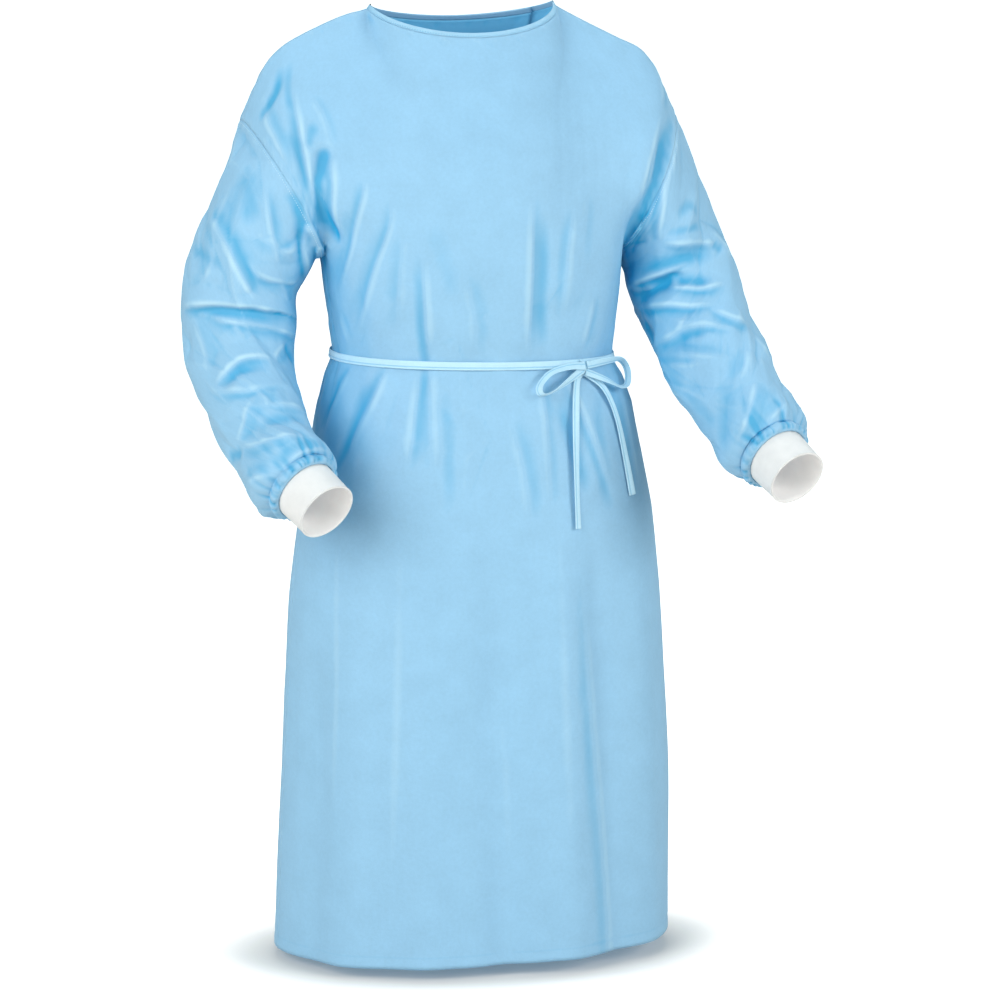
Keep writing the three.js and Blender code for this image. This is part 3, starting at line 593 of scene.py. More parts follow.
def soften(values, wrap, times):
    """Eases a grid of values; its edges keep theirs, so that joined pieces still meet."""
    for _ in range(times):
        wide = np.concatenate([values[:, -1:], values, values[:, :1]], axis=1) if wrap else values
        eased = (wide[:, :-2] + 2 * wide[:, 1:-1] + wide[:, 2:]) / 4
        inner = eased if wrap else np.concatenate([values[:, :1], eased, values[:, -1:]], axis=1)
        values = inner.copy()
        values[1:-1] = (inner[:-2] + 2 * inner[1:-1] + inner[2:]) / 4
    return values


# A cell's two triangles, cut along one diagonal or along the other.
TRIANGLES = ((0, 1, 2), (0, 2, 3), (0, 1, 3), (1, 2, 3))


def facets(u, v, cells_u, cells_v, wrap, rng):
    """Flat facets that meet in straight creases, about as high as they are low. u runs from 0
    to cells_u and v from 0 to cells_v."""
    wide, high = cells_u + 3, cells_v + 3
    nudge = rng.uniform(-0.36, 0.36, (high, wide, 2))
    level = rng.normal(size=(high, wide))
    other_way = rng.random((high, wide)) < 0.5
    made = np.zeros(u.shape)
    column, row = np.floor(u).astype(int), np.floor(v).astype(int)

    def cell(i, j):
        return np.clip(j + 1, 0, high - 1), i % cells_u if wrap else np.clip(i + 1, 0, wide - 1)

    def corner(i, j):
        shift = nudge[cell(i, j)]
        return i + shift[..., 0], j + shift[..., 1], level[cell(i, j)]

    for di in (-1, 0, 1):
        for dj in (-1, 0, 1):
            i, j = column + di, row + dj
            corners = [corner(i, j), corner(i + 1, j), corner(i + 1, j + 1), corner(i, j + 1)]
            flip = other_way[cell(i, j)]
            for k, picks in enumerate(TRIANGLES):
                a, b, c = (corners[pick] for pick in picks)
                area = (b[0] - a[0]) * (c[1] - a[1]) - (c[0] - a[0]) * (b[1] - a[1])
                to_b = ((u - a[0]) * (c[1] - a[1]) - (c[0] - a[0]) * (v - a[1])) / area
                to_c = ((b[0] - a[0]) * (v - a[1]) - (u - a[0]) * (b[1] - a[1])) / area
                inside = (to_b >= 0) & (to_c >= 0) & (to_b + to_c <= 1) & (flip == (k > 1))
                height = a[2] + to_b * (b[2] - a[2]) + to_c * (c[2] - a[2])
                made = np.where(inside, height, made)
    return made


def lay_out(folds, places):
    """Gives each fold its path in space, and the cloth's normal along it."""
    for f in folds:
        marks = []
        for mark in f["path"]:
            if isinstance(mark, str):
                place = places[mark]
            else:
                marks.append(np.concatenate(place(*mark)))
        spots = np.linspace(0, len(marks) - 1, PATH_STEPS)
        line = along(np.array(marks), spots)
        f["points"] = line[:, :3]
        f["normals"] = units(line[:, 3:])


def arc_lengths(grid, axis):
    steps = np.linalg.norm(np.diff(grid, axis=axis), axis=-1)
    start = np.zeros_like(steps.take([0], axis=axis))
    return np.concatenate([start, np.cumsum(steps, axis=axis)], axis=axis)


def fold_mark(grid, wrap):
    """How far each point stands proud of its neighbours, from -1 to 1."""
    normals = grid_normals(grid, wrap)
    total = np.zeros(grid.shape[:2])
    for reach, weight in ((1, 0.5), (3, 0.5)):
        around = np.zeros_like(grid)
        for shift, axis in ((reach, 0), (-reach, 0), (reach, 1), (-reach, 1)):
            moved = np.roll(grid, shift, axis=axis)
            if axis == 0 or not wrap:
                edge = slice(0, reach) if shift > 0 else slice(-reach, None)
                edge = edge if axis == 0 else (slice(None), edge)
                moved[edge] = 2 * grid[edge] - np.roll(grid, -shift, axis=axis)[edge]
            around += moved / 4
        proud = np.einsum("jik,jik->ji", grid - around, normals)
        total += weight * proud / (0.22 * reach**1.3)
    return np.tanh(0.7 * total)


def quads_of(rows, cols, wrap):
    """The quads of a grid of points, row by row."""
    j, i = np.meshgrid(np.arange(rows - 1), np.arange(cols if wrap else cols - 1), indexing="ij")
    east = (i + 1) % cols
    quads = [j * cols + i, j * cols + east, (j + 1) * cols + east, (j + 1) * cols + i]
    return np.stack(quads, -1).reshape(-1, 4)


def placed(name, mesh, material):
    """An object at the origin for a mesh whose points are already in place."""
    mesh.materials.append(material)
    made = bpy.data.objects.new(name, mesh)
    scene.collection.objects.link(made)
    return made


def shell(name, grid, wrap, thick, material, marks):
    """A thin closed shell on a grid of points, with cloth coordinates in metres."""
    rows, cols = grid.shape[:2]
    normals = grid_normals(grid, wrap)
    outer = grid + normals * thick / 2
    inner = grid - normals * thick / 2
    points = np.concatenate([outer.reshape(-1, 3), inner.reshape(-1, 3)]) * MM
    corners = quads_of(rows, cols, wrap)
    under = corners[:, ::-1] + rows * cols
    # the rims, as pairs of points of the outer face
    span = np.arange(cols if wrap else cols - 1)
    ahead = (span + 1) % cols
    last = (rows - 1) * cols
    rims = [(ahead, span), (last + span, last + ahead)]
    if not wrap:
        down = np.arange(rows - 1) * cols
        up = down + cols
        rims += [(down, up), (up + cols - 1, down + cols - 1)]
    size = rows * cols
    rims = [np.stack([a, b, b + size, a + size], -1) for a, b in rims]
    faces = np.concatenate([corners, under, *rims])
    mesh = bpy.data.meshes.new(name)
    mesh.vertices.add(len(points))
    mesh.vertices.foreach_set("co", points.ravel())
    mesh.loops.add(faces.size)
    mesh.loops.foreach_set("vertex_index", faces.ravel())
    mesh.polygons.add(len(faces))
    mesh.polygons.foreach_set("loop_start", np.arange(0, faces.size, 4))
    smooth_face = np.ones(len(faces), bool)
    smooth_face[len(corners) + len(under):] = False
    mesh.polygons.foreach_set("use_smooth", smooth_face)
    mesh.update(calc_edges=True)
    u, v = arc_lengths(grid, 1), arc_lengths(grid, 0)
    u = u - u[:, cols // 2][:, None]
    flat = np.stack([u, v], -1).reshape(-1, 2) * MM
    layer = mesh.uv_layers.new(name="cloth")
    uv = np.concatenate([flat, flat])[faces.ravel()].reshape(-1, 4, 2)
    if wrap:
        girth = np.linalg.norm(grid[:, 0] - grid[:, -1], axis=-1)
        lap = (u[:, -1] + girth) * MM
        at_end = np.nonzero(corners[:, 1] % cols == 0)[0]
        row = corners[at_end, 0] // cols
        for face, near, far in ((at_end, 1, 2), (at_end + len(corners), 2, 1)):
            uv[face, near, 0] = lap[row]
            uv[face, far, 0] = lap[row + 1]
    layer.data.foreach_set("uv", uv.ravel())
    for mark, (outside, inside) in marks.items():
        values = mesh.attributes.new(mark, "FLOAT", "POINT").data
        values.foreach_set("value", np.concatenate([outside.ravel(), inside.ravel()]))
    return placed(name, mesh, material)


# ---- folds and creases of the front and the sleeves ----------------------------------------
# Each row: the reach to each side and the rise in millimetres (below zero for a trough), the
# crispness, then the path. A path names the piece it is on and gives places there: x and z on
# the front or the back, the turn in degrees from the armpit and the share of the length on a
# sleeve. It may run on from one piece to the next.
FOLDS = [
    # the wearer's right shoulder and sleeve cap
    fold(13, 3.0, 0.8, ["front", (-249, -96), (-250, -124), (-242, -154), (-231, -189)], 0.3),
    fold(10, -4.6, 0, ["front", (-226, -61), (-238, -92), (-249, -112), (-257, -134)]),
    fold(22, -3.0, 0, ["right", (142, .05), (118, .10), (100, .15)]),
    fold(15, 3.2, 0.95, ["right", (112, .055), (94, .105), (70, .16), (58, .19)], 0.55),
    fold(12, 3.2, 0.8, ["right", (76, .158), (57, .136), (50, .09)], 0.4),
    fold(9, -2.2, 0, ["front", (-216, -55), (-226, -93), (-223, -121)]),
    fold(14, 4.2, 0.9, ["front", (-218, -90), (-214, -140), (-208, -195), (-199, -232)], -0.5),
    fold(10, -3.4, 0, ["front", (-230, -125), (-219, -173), (-210, -212)]),
    fold(13, -9.0, 0, ["front", (-187, -150), (-195, -180), (-199, -205), (-191, -240), (-174, -276)],
         0, (0.12, 0.12)),
    fold(13, 4.6, 0.95, ["right", (64, .02), (50, .07), (32, .125), (8, .175)], -0.6, (0.1, 0.2)),
    fold(10, 4.2, 0.95, ["right", (40, .01), (24, .05), (6, .08)], -0.6, (0.1, 0.2)),
    fold(14, 3.6, 0.9, ["front", (-184, -150), (-181, -196), (-180, -234), (-172, -275)], -0.5),
    fold(10, 1.6, 0.8, ["front", (-205, -95), (-190, -120), (-178, -165)], 0.5),
    fold(11, -2.4, 0, ["front", (-198, -125), (-212, -160)]),
    fold(12, -5.0, 0, ["right", (100, .01), (78, .02), (50, .08), (30, .136)]),
    # the right sleeve
    fold(26, 2.6, 0.9, ["right", (150, .09), (142, .131), (138, .175)], 0.3, (0.5, 0)),
    fold(28, 5.2, 0.95, ["right", (138, .171), (110, .211), (86, .262), (74, .305)], 0.6, (0, 0.3)),
    fold(22, 2.4, 0.95, ["right", (138, .171), (128, .24), (140, .31)], -0.3, (0, 0.4)),
    fold(12, -2.6, 0, ["right", (180, .221), (142, .226), (111, .241)]),
    fold(14, 2.6, 0.9, ["right", (100, .150), (87, .151), (74, .146), (57, .156)], -0.5),
    fold(15, 3.6, 0.95, ["right", (96, .210), (70, .226), (40, .215), (20, .185)], -0.6),
    fold(20, 2.6, 0.9, ["right", (60, .200), (40, .26), (30, .31)], 0.4),
    fold(15, 6.5, 0.95, ["right", (170, .335), (129, .325), (96, .328), (64, .334), (4, .352)], -0.62,
         (0.15, 0.15)),
    fold(12, -4.6, 0, ["right", (158, .352), (110, .350), (70, .362), (14, .378)]),
    fold(15, 4.0, 0.95, ["right", (156, .345), (99, .380), (40, .412), (2, .415)], -0.55),
    fold(18, 2.2, 0.9, ["right", (99, .377), (87, .462)], 0.3),
    fold(20, 2.6, 0.9, ["right", (150, .36), (136, .43), (140, .52)], 0.3),
    fold(12, -3.2, 0, ["right", (40, .44), (22, .477), (0, .49)]),
    fold(18, 3.6, 0.9, ["right", (24, .43), (48, .49), (57, .523)], 0.4),
    fold(15, 4.4, 0.95, ["right", (140, .552), (118, .533), (99, .513), (79, .514), (52, .526)], -0.6),
    fold(10, -3.6, 0, ["right", (134, .562), (112, .552), (95, .542), (60, .550)]),
    fold(15, 3.4, 0.95, ["right", (146, .550), (114, .582), (93, .597), (50, .588)], -0.55),
    fold(20, 2.6, 0.95, ["right", (93, .597), (86, .625), (88, .655)], 0.3, (0.2, 0.2)),
    fold(14, 3.0, 0.95, ["right", (90, .645), (70, .650), (52, .648), (28, .648)], -0.5),
    fold(22, 3.2, 0.95, ["right", (150, .690), (124, .658), (93, .605)], -0.4),
    fold(15, -3.2, 0, ["right", (120, .715), (90, .70), (60, .695), (30, .69)]),
    fold(17, 3.4, 0.95, ["right", (150, .690), (123, .749), (93, .794), (58, .816)], -0.45),
    fold(12, -3.6, 0, ["right", (183, .663), (150, .722)]),
    fold(14, -3.0, 0, ["right", (135, .90), (100, .865), (60, .86), (20, .83)]),
    fold(13, 3.0, 0.9, ["right", (130, .93), (90, .905), (54, .894), (16, .85)], -0.5),
    fold(16, 2.6, 0.9, ["right", (170, .80), (150, .85), (135, .91)], 0.4),
    # the wearer's left shoulder
    fold(13, 2.8, 0.8, ["front", (231, -70), (232, -97), (225, -125)], 0.4),
    fold(15, -8.0, 0, ["front", (248, -128), (234, -147), (224, -170), (215, -199), (204, -227),
                      (196, -255), "left", (24, .06), (26, .111)]),
    fold(14, 4.0, 0.9, ["front", (250, -136), (240, -165),
                       "left", (94, .005), (76, .03), (58, .095), (55, .14)], -0.45),
    fold(14, 3.4, 0.9, ["front", (226, -128), (208, -165), (196, -205), (188, -250)], 0.45),
    fold(15, 3.6, 0.9, ["left", (54, .136), (75, .171), (108, .216), (120, .23)], -0.5),
    fold(9, -2.4, 0, ["left", (60, .120), (90, .150), (117, .172)]),
    fold(12, -2.4, 0, ["left", (75, .098), (102, .106), (117, .148)]),
    fold(12, -3.0, 0, ["left", (117, .226), (126, .266)]),
    fold(20, 2.6, 0.9, ["left", (120, .18), (135, .25), (130, .33)], 0.4),
    # the left sleeve
    fold(15, 5.6, 0.95, ["left", (-4, .268), (25, .262), (50, .266), (82, .268)], -0.6),
    fold(15, -5.0, 0, ["left", (16, .210), (52, .224), (84, .246), (122, .262)]),
    fold(11, -5.0, 0, ["left", (66, .280), (62, .307), (44, .320), (10, .30)]),
    fold(13, 3.4, 0.9, ["left", (3, .251), (24, .300), (48, .320)], -0.4),
    fold(14, 4.2, 0.95, ["left", (50, .340), (69, .382), (92, .405), (112, .40)], -0.6),
    fold(12, -4.6, 0, ["left", (60, .325), (76, .358), (104, .388)]),
    fold(15, 4.6, 0.95, ["left", (-6, .330), (34, .387), (66, .446), (100, .468)], -0.55),
    fold(12, -4.4, 0, ["left", (4, .325), (39, .322), (62, .345)]),
    fold(14, 3.6, 0.95, ["left", (64, .455), (50, .486), (30, .490), (-15, .457)], 0.5),
    fold(13, -4.6, 0, ["left", (-9, .377), (0, .42), (10, .460)]),
    fold(15, 3.8, 0.95, ["left", (6, .490), (48, .497), (76, .518), (106, .552)], -0.55),
    fold(11, -3.2, 0, ["left", (20, .512), (52, .519), (76, .540)]),
    fold(20, 3.0, 0.95, ["left", (0, .488), (45, .573), (88, .628)], 0.45),
    fold(18, 3.0, 0.95, ["left", (-22, .468), (25, .568), (54, .606)], 0.45),
    fold(16, 3.8, 0.95, ["left", (86, .470), (108, .513), (133, .520)], -0.5),
    fold(24, 2.6, 0.8, ["left", (135, .53), (140, .63)], 0.3),
    fold(22, -2.6, 0, ["left", (58, .653), (54, .719), (24, .784), (2, .874)]),
    fold(18, -2.0, 0, ["left", (14, .588), (15, .683), (16, .769)]),
    fold(18, 3.2, 0.9, ["left", (-12, .500), (-6, .563), (6, .655)], 0.4),
    fold(20, 3.4, 0.9, ["left", (96, .70), (84, .749), (60, .829), (28, .865)], 0.4),
    fold(18, 2.8, 0.9, ["left", (110, .60), (96, .66), (70, .70)], -0.4),
    fold(15, 2.8, 0.9, ["left", (120, .80), (100, .86), (80, .90)], -0.4),
    # the chest, above the belt
    fold(19, 2.8, 0.9, ["front", (-146, -190), (-145, -212), (-154, -246), (-163, -291),
                       (-172, -345)], -0.7),
    fold(14, -1.6, 0, ["front", (-163, -212), (-169, -264), (-175, -328)]),
    fold(20, 2.8, 0.9, ["front", (-115, -212), (-119, -249), (-133, -292), (-143, -335),
                       (-154, -385)], -0.7),
    fold(14, -1.2, 0, ["front", (-128, -240), (-142, -280), (-153, -330), (-162, -375)]),
    fold(20, 1.8, 0.8, ["front", (-100, -233), (-108, -296), (-109, -378)], -0.5),
    fold(9, -2.4, 0, ["front", (-95, -280), (-91, -325), (-85, -365), (-81, -404)], 0, (0.7, 0)),
    fold(16, 2.4, 0.9, ["front", (-84, -262), (-80, -320), (-76, -360), (-74, -402)], -0.55),
    fold(7, -2.4, 0, ["front", (-81, -404), (-82, -430), (-87, -468)], 0, (0, 0.7)),
    fold(18, 3.0, 0.9, ["front", (-88, -402), (-97, -473), (-106, -540)], 0.6),
    fold(16, 2.4, 0.9, ["front", (-74, -405), (-72, -460), (-74, -540)], -0.4),
    fold(8, 1.8, 0.9, ["front", (-168, -350), (-157, -392)], 0.4),
    fold(24, -0.8, 0, ["front", (-75, -228), (-60, -285), (-42, -345)]),
    fold(20, 1.6, 0.7, ["front", (-40, -300), (-30, -350), (-26, -402)], 0.4),
    fold(19, 3.0, 0.95, ["front", (47, -205), (44, -277), (40, -350), (42, -408)], 0.72),
    fold(13, -2.6, 0, ["front", (58, -225), (60, -290), (58, -350), (60, -404)]),
    fold(17, 2.4, 0.9, ["front", (104, -225), (94, -290), (86, -370)], -0.5),
    fold(14, 1.4, 0.9, ["front", (120, -205), (105, -301)], 0.4),
    fold(17, 2.6, 0.9, ["front", (219, -138), (206, -190), (190, -255)], 0.5),
    fold(12, 2.2, 0.9, ["front", (128, -330), (120, -370), (112, -402)], 0.4),
    # the skirt, below the belt
    fold(14, 2.8, 0.9, ["front", (-173, -416), (-182, -450), (-194, -500)], -0.5),
    fold(18, 3.2, 0.9, ["front", (-117, -408), (-136, -451), (-166, -515)], -0.5),
    fold(14, 2.6, 0.9, ["front", (-154, -412), (-171, -450), (-188, -505)], -0.5),
    fold(12, -2.4, 0, ["front", (-140, -425), (-160, -480), (-186, -560)]),
    fold(13, -1.4, 0, ["front", (-60, -430), (-58, -500), (-60, -600)]),
    fold(17, -2.6, 0, ["front", (80, -440), (97, -515), (114, -575)]),
    fold(16, 3.4, 0.9, ["front", (83, -420), (117, -494), (147, -580)], -0.6),
    fold(22, 2.0, 0.8, ["front", (10, -470), (27, -540), (34, -600)], 0.4),
    fold(16, 2.0, 0.9, ["front", (55, -410), (58, -478), (64, -610)], 0.6),
    fold(17, -2.2, 0, ["front", (121, -442), (141, -601)]),
    fold(20, 2.6, 0.8, ["front", (150, -420), (172, -490), (190, -590)], -0.4),
    fold(30, 2.6, 0.7, ["front", (70, -560), (76, -780), (84, -1040)]),
    fold(20, 2.8, 0.9, ["front", (98, -640), (113, -837), (129, -1045), (134, -1117)], -0.4, (0.3, 0)),
    fold(26, 2.6, 0.7, ["front", (-181, -600), (-185, -756), (-192, -960)]),
    fold(26, 2.6, 0.7, ["front", (-116, -600), (-124, -800), (-134, -1040)]),
    fold(30, 1.6, 0.7, ["front", (-8, -760), (4, -900), (6, -1050)]),
    # the back, which shows the same kinds
    fold(18, 2.8, 0.9, ["back", (-140, -200), (-150, -270), (-160, -370)], 0.6),
    fold(12, -2.4, 0, ["back", (-152, -230), (-163, -300), (-168, -370)]),
    fold(18, 2.4, 0.9, ["back", (-96, -230), (-104, -300), (-108, -395)], 0.6),
    fold(18, 2.6, 0.9, ["back", (88, -215), (98, -290), (104, -395)], -0.6),
    fold(12, -2.4, 0, ["back", (112, -250), (118, -320), (116, -395)]),
    fold(18, 2.6, 0.9, ["back", (142, -205), (152, -265), (168, -360)], -0.6),
    fold(14, -6.5, 0, ["back", (-196, -158), (-206, -190), (-200, -225), (-182, -264)]),
    fold(14, -6.5, 0, ["back", (200, -156), (208, -192), (200, -226), (184, -266)]),
    fold(14, 3.6, 0.9, ["back", (-184, -160), (-184, -215), (-172, -270)], 0.5),
    fold(14, 3.6, 0.9, ["back", (188, -155), (187, -212), (176, -272)], -0.5),
    fold(22, 2.2, 0.8, ["back", (-50, -110), (-70, -170), (-115, -215)], 0.4),
    fold(22, 2.2, 0.8, ["back", (60, -100), (84, -160), (132, -202)], -0.4),
    fold(18, 3.0, 0.9, ["back", (-110, -410), (-124, -480), (-150, -570)], 0.5),
    fold(16, 2.6, 0.9, ["back", (-152, -412), (-168, -460), (-186, -525)], 0.5),
    fold(12, -2.6, 0, ["back", (-60, -425), (-66, -500), (-74, -590)]),
    fold(18, 2.8, 0.9, ["back", (104, -410), (120, -486), (142, -580)], -0.5),
    fold(12, -2.6, 0, ["back", (132, -425), (150, -480), (166, -545)]),
    fold(18, 2.6, 0.9, ["back", (66, -412), (72, -500), (84, -610)], -0.5),
    fold(28, 2.2, 0.7, ["back", (-120, -680), (-132, -820), (-142, -980)], 0.4),
    fold(28, 2.2, 0.7, ["back", (110, -640), (124, -800), (134, -960)], -0.4),
    fold(14, -1.6, 0, ["back", (150, -720), (166, -900), (178, -1100)]),
    fold(15, 5.0, 0.95, ["right", (-165, .31), (-110, .335), (-70, .345), (-10, .345)], 0.6),
    fold(12, -4.4, 0, ["right", (-150, .355), (-100, .365), (-50, .372)]),
    fold(15, 3.8, 0.95, ["right", (-155, .45), (-105, .47), (-55, .45)], 0.55),
    fold(15, 3.4, 0.95, ["right", (-145, .60), (-95, .585), (-45, .61)], 0.5),
    fold(14, -4.0, 0, ["right", (-100, .05), (-70, .08), (-40, .13)]),
    fold(24, 3.2, 0.9, ["right", (-135, .13), (-100, .20), (-72, .27)], 0.4),
    fold(18, 3.2, 0.9, ["right", (-135, .71), (-90, .76), (-40, .80)], -0.4),
    fold(15, 5.0, 0.95, ["left", (-160, .32), (-105, .35), (-60, .34), (-10, .31)], 0.6),
    fold(12, -4.2, 0, ["left", (-140, .375), (-95, .385), (-45, .37)]),
    fold(15, 3.8, 0.95, ["left", (-150, .48), (-100, .48), (-50, .455)], 0.55),
    fold(16, 3.2, 0.95, ["left", (-140, .62), (-90, .60), (-40, .58)], 0.5),
    fold(14, -4.0, 0, ["left", (-100, .05), (-70, .08), (-35, .12)]),
    fold(22, 3.2, 0.9, ["left", (-132, .15), (-98, .21), (-66, .26)], 0.4),
    fold(18, 3.2, 0.9, ["left", (-140, .73), (-95, .77), (-45, .83)], -0.4),
]
# The skirt's wide flutes. Columns: x and z at the top, x at the hem, reach, rise.
FLUTES = {
    "front": [(-205, -700, -218, 22, -8), (-150, -600, -180, 30, 5), (-85, -620, -95, 34, 6),
              (-10, -560, 0, 30, -9), (75, -540, 88, 32, 7), (112, -560, 145, 20, -7),
              (170, -560, 195, 26, 5)],
    "back": [(-140, -560, -170, 36, 7), (-85, -520, -100, 30, -6), (85, -540, 110, 34, 7),
             (145, -600, 165, 30, -6)],
}


# ---- front, two backs and two sleeves ------------------------------------------------------
# The cloth panels are one continuous surface: they meet in sewn seams at the sides, shoulders
# and armholes, the backs lap over each other, and everything is pressed by the same folds.
HALF_COLUMNS = np.concatenate([np.linspace(0, NECK_SHARE, 36), np.linspace(NECK_SHARE, 1, 54)[1:]])
FLAP_COLUMN = 21
FLAP_LIFT = 2.2
FLAP_EASE = 0.2
SKIRT_ROWS = 180
YOKE_ROWS = 96
SLEEVE_ROWS = 220
LEVELS = np.concatenate([
    np.linspace(HEM_Z, ARMPIT_Z, SKIRT_ROWS + 1),
    ARMPIT_Z + YOKE_RISE * np.linspace(0, 1, YOKE_ROWS + 1)[1:],
])
SPUN_THICK = 0.6


def base_body(face, columns):
    """A panel's smooth form with its flutes and the lap of the backs."""
    across, height = np.meshgrid(columns, LEVELS)
    grid = body_point(face, across, height)
    outward = grid_normals(grid, False)
    rise = np.zeros(grid.shape[:2])
    for x, z, x_hem, reach, up in FLUTES[face]:
        way = np.array([x_hem - x, HEM_Z - z], float)
        from_top = grid[..., [0, 2]] - (x, z)
        t = np.clip(from_top @ way / (way @ way), 0, 1)
        away = np.linalg.norm(from_top - t[..., None] * way, axis=-1) / reach
        rise += up * np.exp(-1.5 * away**2) * smooth(2.5 * t)
    rise *= smooth((1 - np.abs(across)) / 0.12)
    if face == "back":
        eased = smooth((HALF_COLUMNS[FLAP_COLUMN] + FLAP_EASE - np.abs(across)) / FLAP_EASE)
        # the left back starts at its side seam and lies over the right one
        rise += eased * (FLAP_LIFT if columns[0] == 1 else -FLAP_LIFT)
    return grid + outward * rise[..., None]


# Past the groove where it is sewn to the cuff, a sleeve ends in a narrow roll of cloth.
# Columns: how far along the arm past the cuff's start, and the radius.
ROLL = np.array([(-10.2, 43.2), (-8.8, 42.6), (-7.0, 43.8), (-3.8, 45.8), (0.8, 46.0), (3.8, 43.0),
                 (3.8, 38.3)])
ROLL_SHARE = 0.938
ROLL_ROWS = 18


def base_sleeve(side):
    count = 2 * YOKE_ROWS
    turns = -side * np.pi * np.arange(count) / YOKE_ROWS
    turn, share = np.meshgrid(turns, np.linspace(0, ROLL_SHARE, SLEEVE_ROWS + 1 - ROLL_ROWS))
    arm = sleeve_point(side, turn, share)
    end = STATIONS[side][-1]
    under, fore = unit(end[3:6]), unit(end[6:9])
    onward, radius = along(ROLL, np.linspace(0, len(ROLL) - 1, ROLL_ROWS)).T
    reach = np.cos(turns)[:, None] * under + np.sin(turns)[:, None] * fore
    down_arm = onward[:, None, None] * np.cross(under, fore) * -side
    return np.concatenate([arm, end[:3] + down_arm + radius[:, None, None] * reach])


front_columns = np.concatenate([-HALF_COLUMNS[:0:-1], HALF_COLUMNS])
flap = HALF_COLUMNS[FLAP_COLUMN]
left_columns = np.concatenate([HALF_COLUMNS[::-1], -HALF_COLUMNS[1:FLAP_COLUMN + 1]])
CLOTH = {
    name: {"grid": base_body(face, columns), "columns": columns, "wrap": False}
    for name, face, columns in (
        ("front_panel", "front", front_columns),
        ("back_panel_left", "back", left_columns),
        ("back_panel_right", "back", -left_columns[::-1]),
    )
}
CLOTH["sleeve_right"] = {"grid": base_sleeve(-1), "wrap": True}
CLOTH["sleeve_left"] = {"grid": base_sleeve(1), "wrap": True}
for piece in CLOTH.values():
    piece["normals"] = grid_normals(piece["grid"], piece["wrap"])

# Where pieces meet they share one normal, so that pressing moves both edges alike.
every_point = np.concatenate([c["grid"].reshape(-1, 3) for c in CLOTH.values()])
every_normal = np.concatenate([c["normals"].reshape(-1, 3) for c in CLOTH.values()])
cells = np.round(every_point / 0.1 + 0.0137).astype(np.int64)
_, shared = np.unique(cells, axis=0, return_inverse=True)
shared = shared.reshape(-1)
summed = np.zeros((shared.max() + 1, 3))
np.add.at(summed, shared, every_normal)
every_normal = units(summed[shared])


def front_place(x, z, name="front_panel"):
    piece = CLOTH[name]
    gap = np.hypot(piece["grid"][..., 0] - x, piece["grid"][..., 2] - z)
    spot = np.unravel_index(np.argmin(gap), gap.shape)
    return piece["grid"][spot], piece["normals"][spot]


def back_place(x, z):
    return front_place(x, z, "back_panel_left" if x > -60 else "back_panel_right")


def arm_place(side, turn, share):
    piece = CLOTH["sleeve_right" if side < 0 else "sleeve_left"]
    count = piece["grid"].shape[1]
    column = round(-side * turn / 360 * count) % count
    row = min(round(share * SLEEVE_ROWS), SLEEVE_ROWS)
    return piece["grid"][row, column], piece["normals"][row, column]


PLACES = {
    "front": front_place,
    "back": back_place,
    "right": lambda turn, share: arm_place(-1, turn, share),
    "left": lambda turn, share: arm_place(1, turn, share),
}
lay_out(FOLDS, PLACES)

risen, line_mark = press(every_point, every_normal, FOLDS)
# The belt holds the body's cloth flat. It doesn't reach the sleeves, which hang further out.
BELT_HOLD = 0.8
BELT_HOLD_REACH = 9.0
BODY_HALF = 185.0
under_belt = np.exp(-(((every_point[:, 2] - BELT_LEVEL) / BELT_HOLD_REACH) ** 2))
risen *= 1 - BELT_HOLD * under_belt * (np.abs(every_point[:, 0]) < BODY_HALF)

start = 0
for name, piece in CLOTH.items():
    shape = piece["grid"].shape[:2]
    size = shape[0] * shape[1]
    piece["rise"] = soften(risen[start:start + size].reshape(shape), piece["wrap"], 1)
    piece["lines"] = soften(line_mark[start:start + size].reshape(shape), piece["wrap"], 1)
    piece["normals"] = every_normal[start:start + size].reshape(*shape, 3)
    start += size


GROOVE_DEPTH = 0.5
GROOVE_REACH = 2.4
SWELL_RISE = 0.35
SWELL_PLACE = 6.0
PUCKER_RISE = 0.30
PUCKER_REACH = 5.0


def seam_relief(from_seam, along_seam, phase):
    """A sewn seam: a narrow groove with a soft swell and small puckers beside it."""
    groove = -GROOVE_DEPTH * np.exp(-((from_seam / GROOVE_REACH) ** 2))
    swell = SWELL_RISE * np.exp(-(((from_seam - SWELL_PLACE) / 3) ** 2))
    wave = np.sin(along_seam / 3.1 + phase) + 0.7 * np.sin(along_seam / 5.3 + 2 * phase)
    away = from_seam / PUCKER_REACH
    pucker = PUCKER_RISE * wave * away * np.exp(1 - away) * (from_seam < 8 * PUCKER_REACH)
    return groove + swell + pucker


# At its end a sleeve is drawn in to the cuff: a narrow roll of cloth stands over the join, with
# short pinches across it, and longer soft ones run up the sleeve from a groove behind it.
# Columns: how many pinches, then their least and most depth, width and length.
PINCHES = (
    (30, (0.4, 2.5), (1.1, 2.8), (10, 20)),
    (34, (0.3, 1.9), (2.0, 4.6), (26, 70)),
)
PINCH_SHADE = 0.9
END_RADIUS = 40.0
BLOUSE_RISE = 3.0
BLOUSE_PLACE = 38.0
BLOUSE_REACH = 15.0


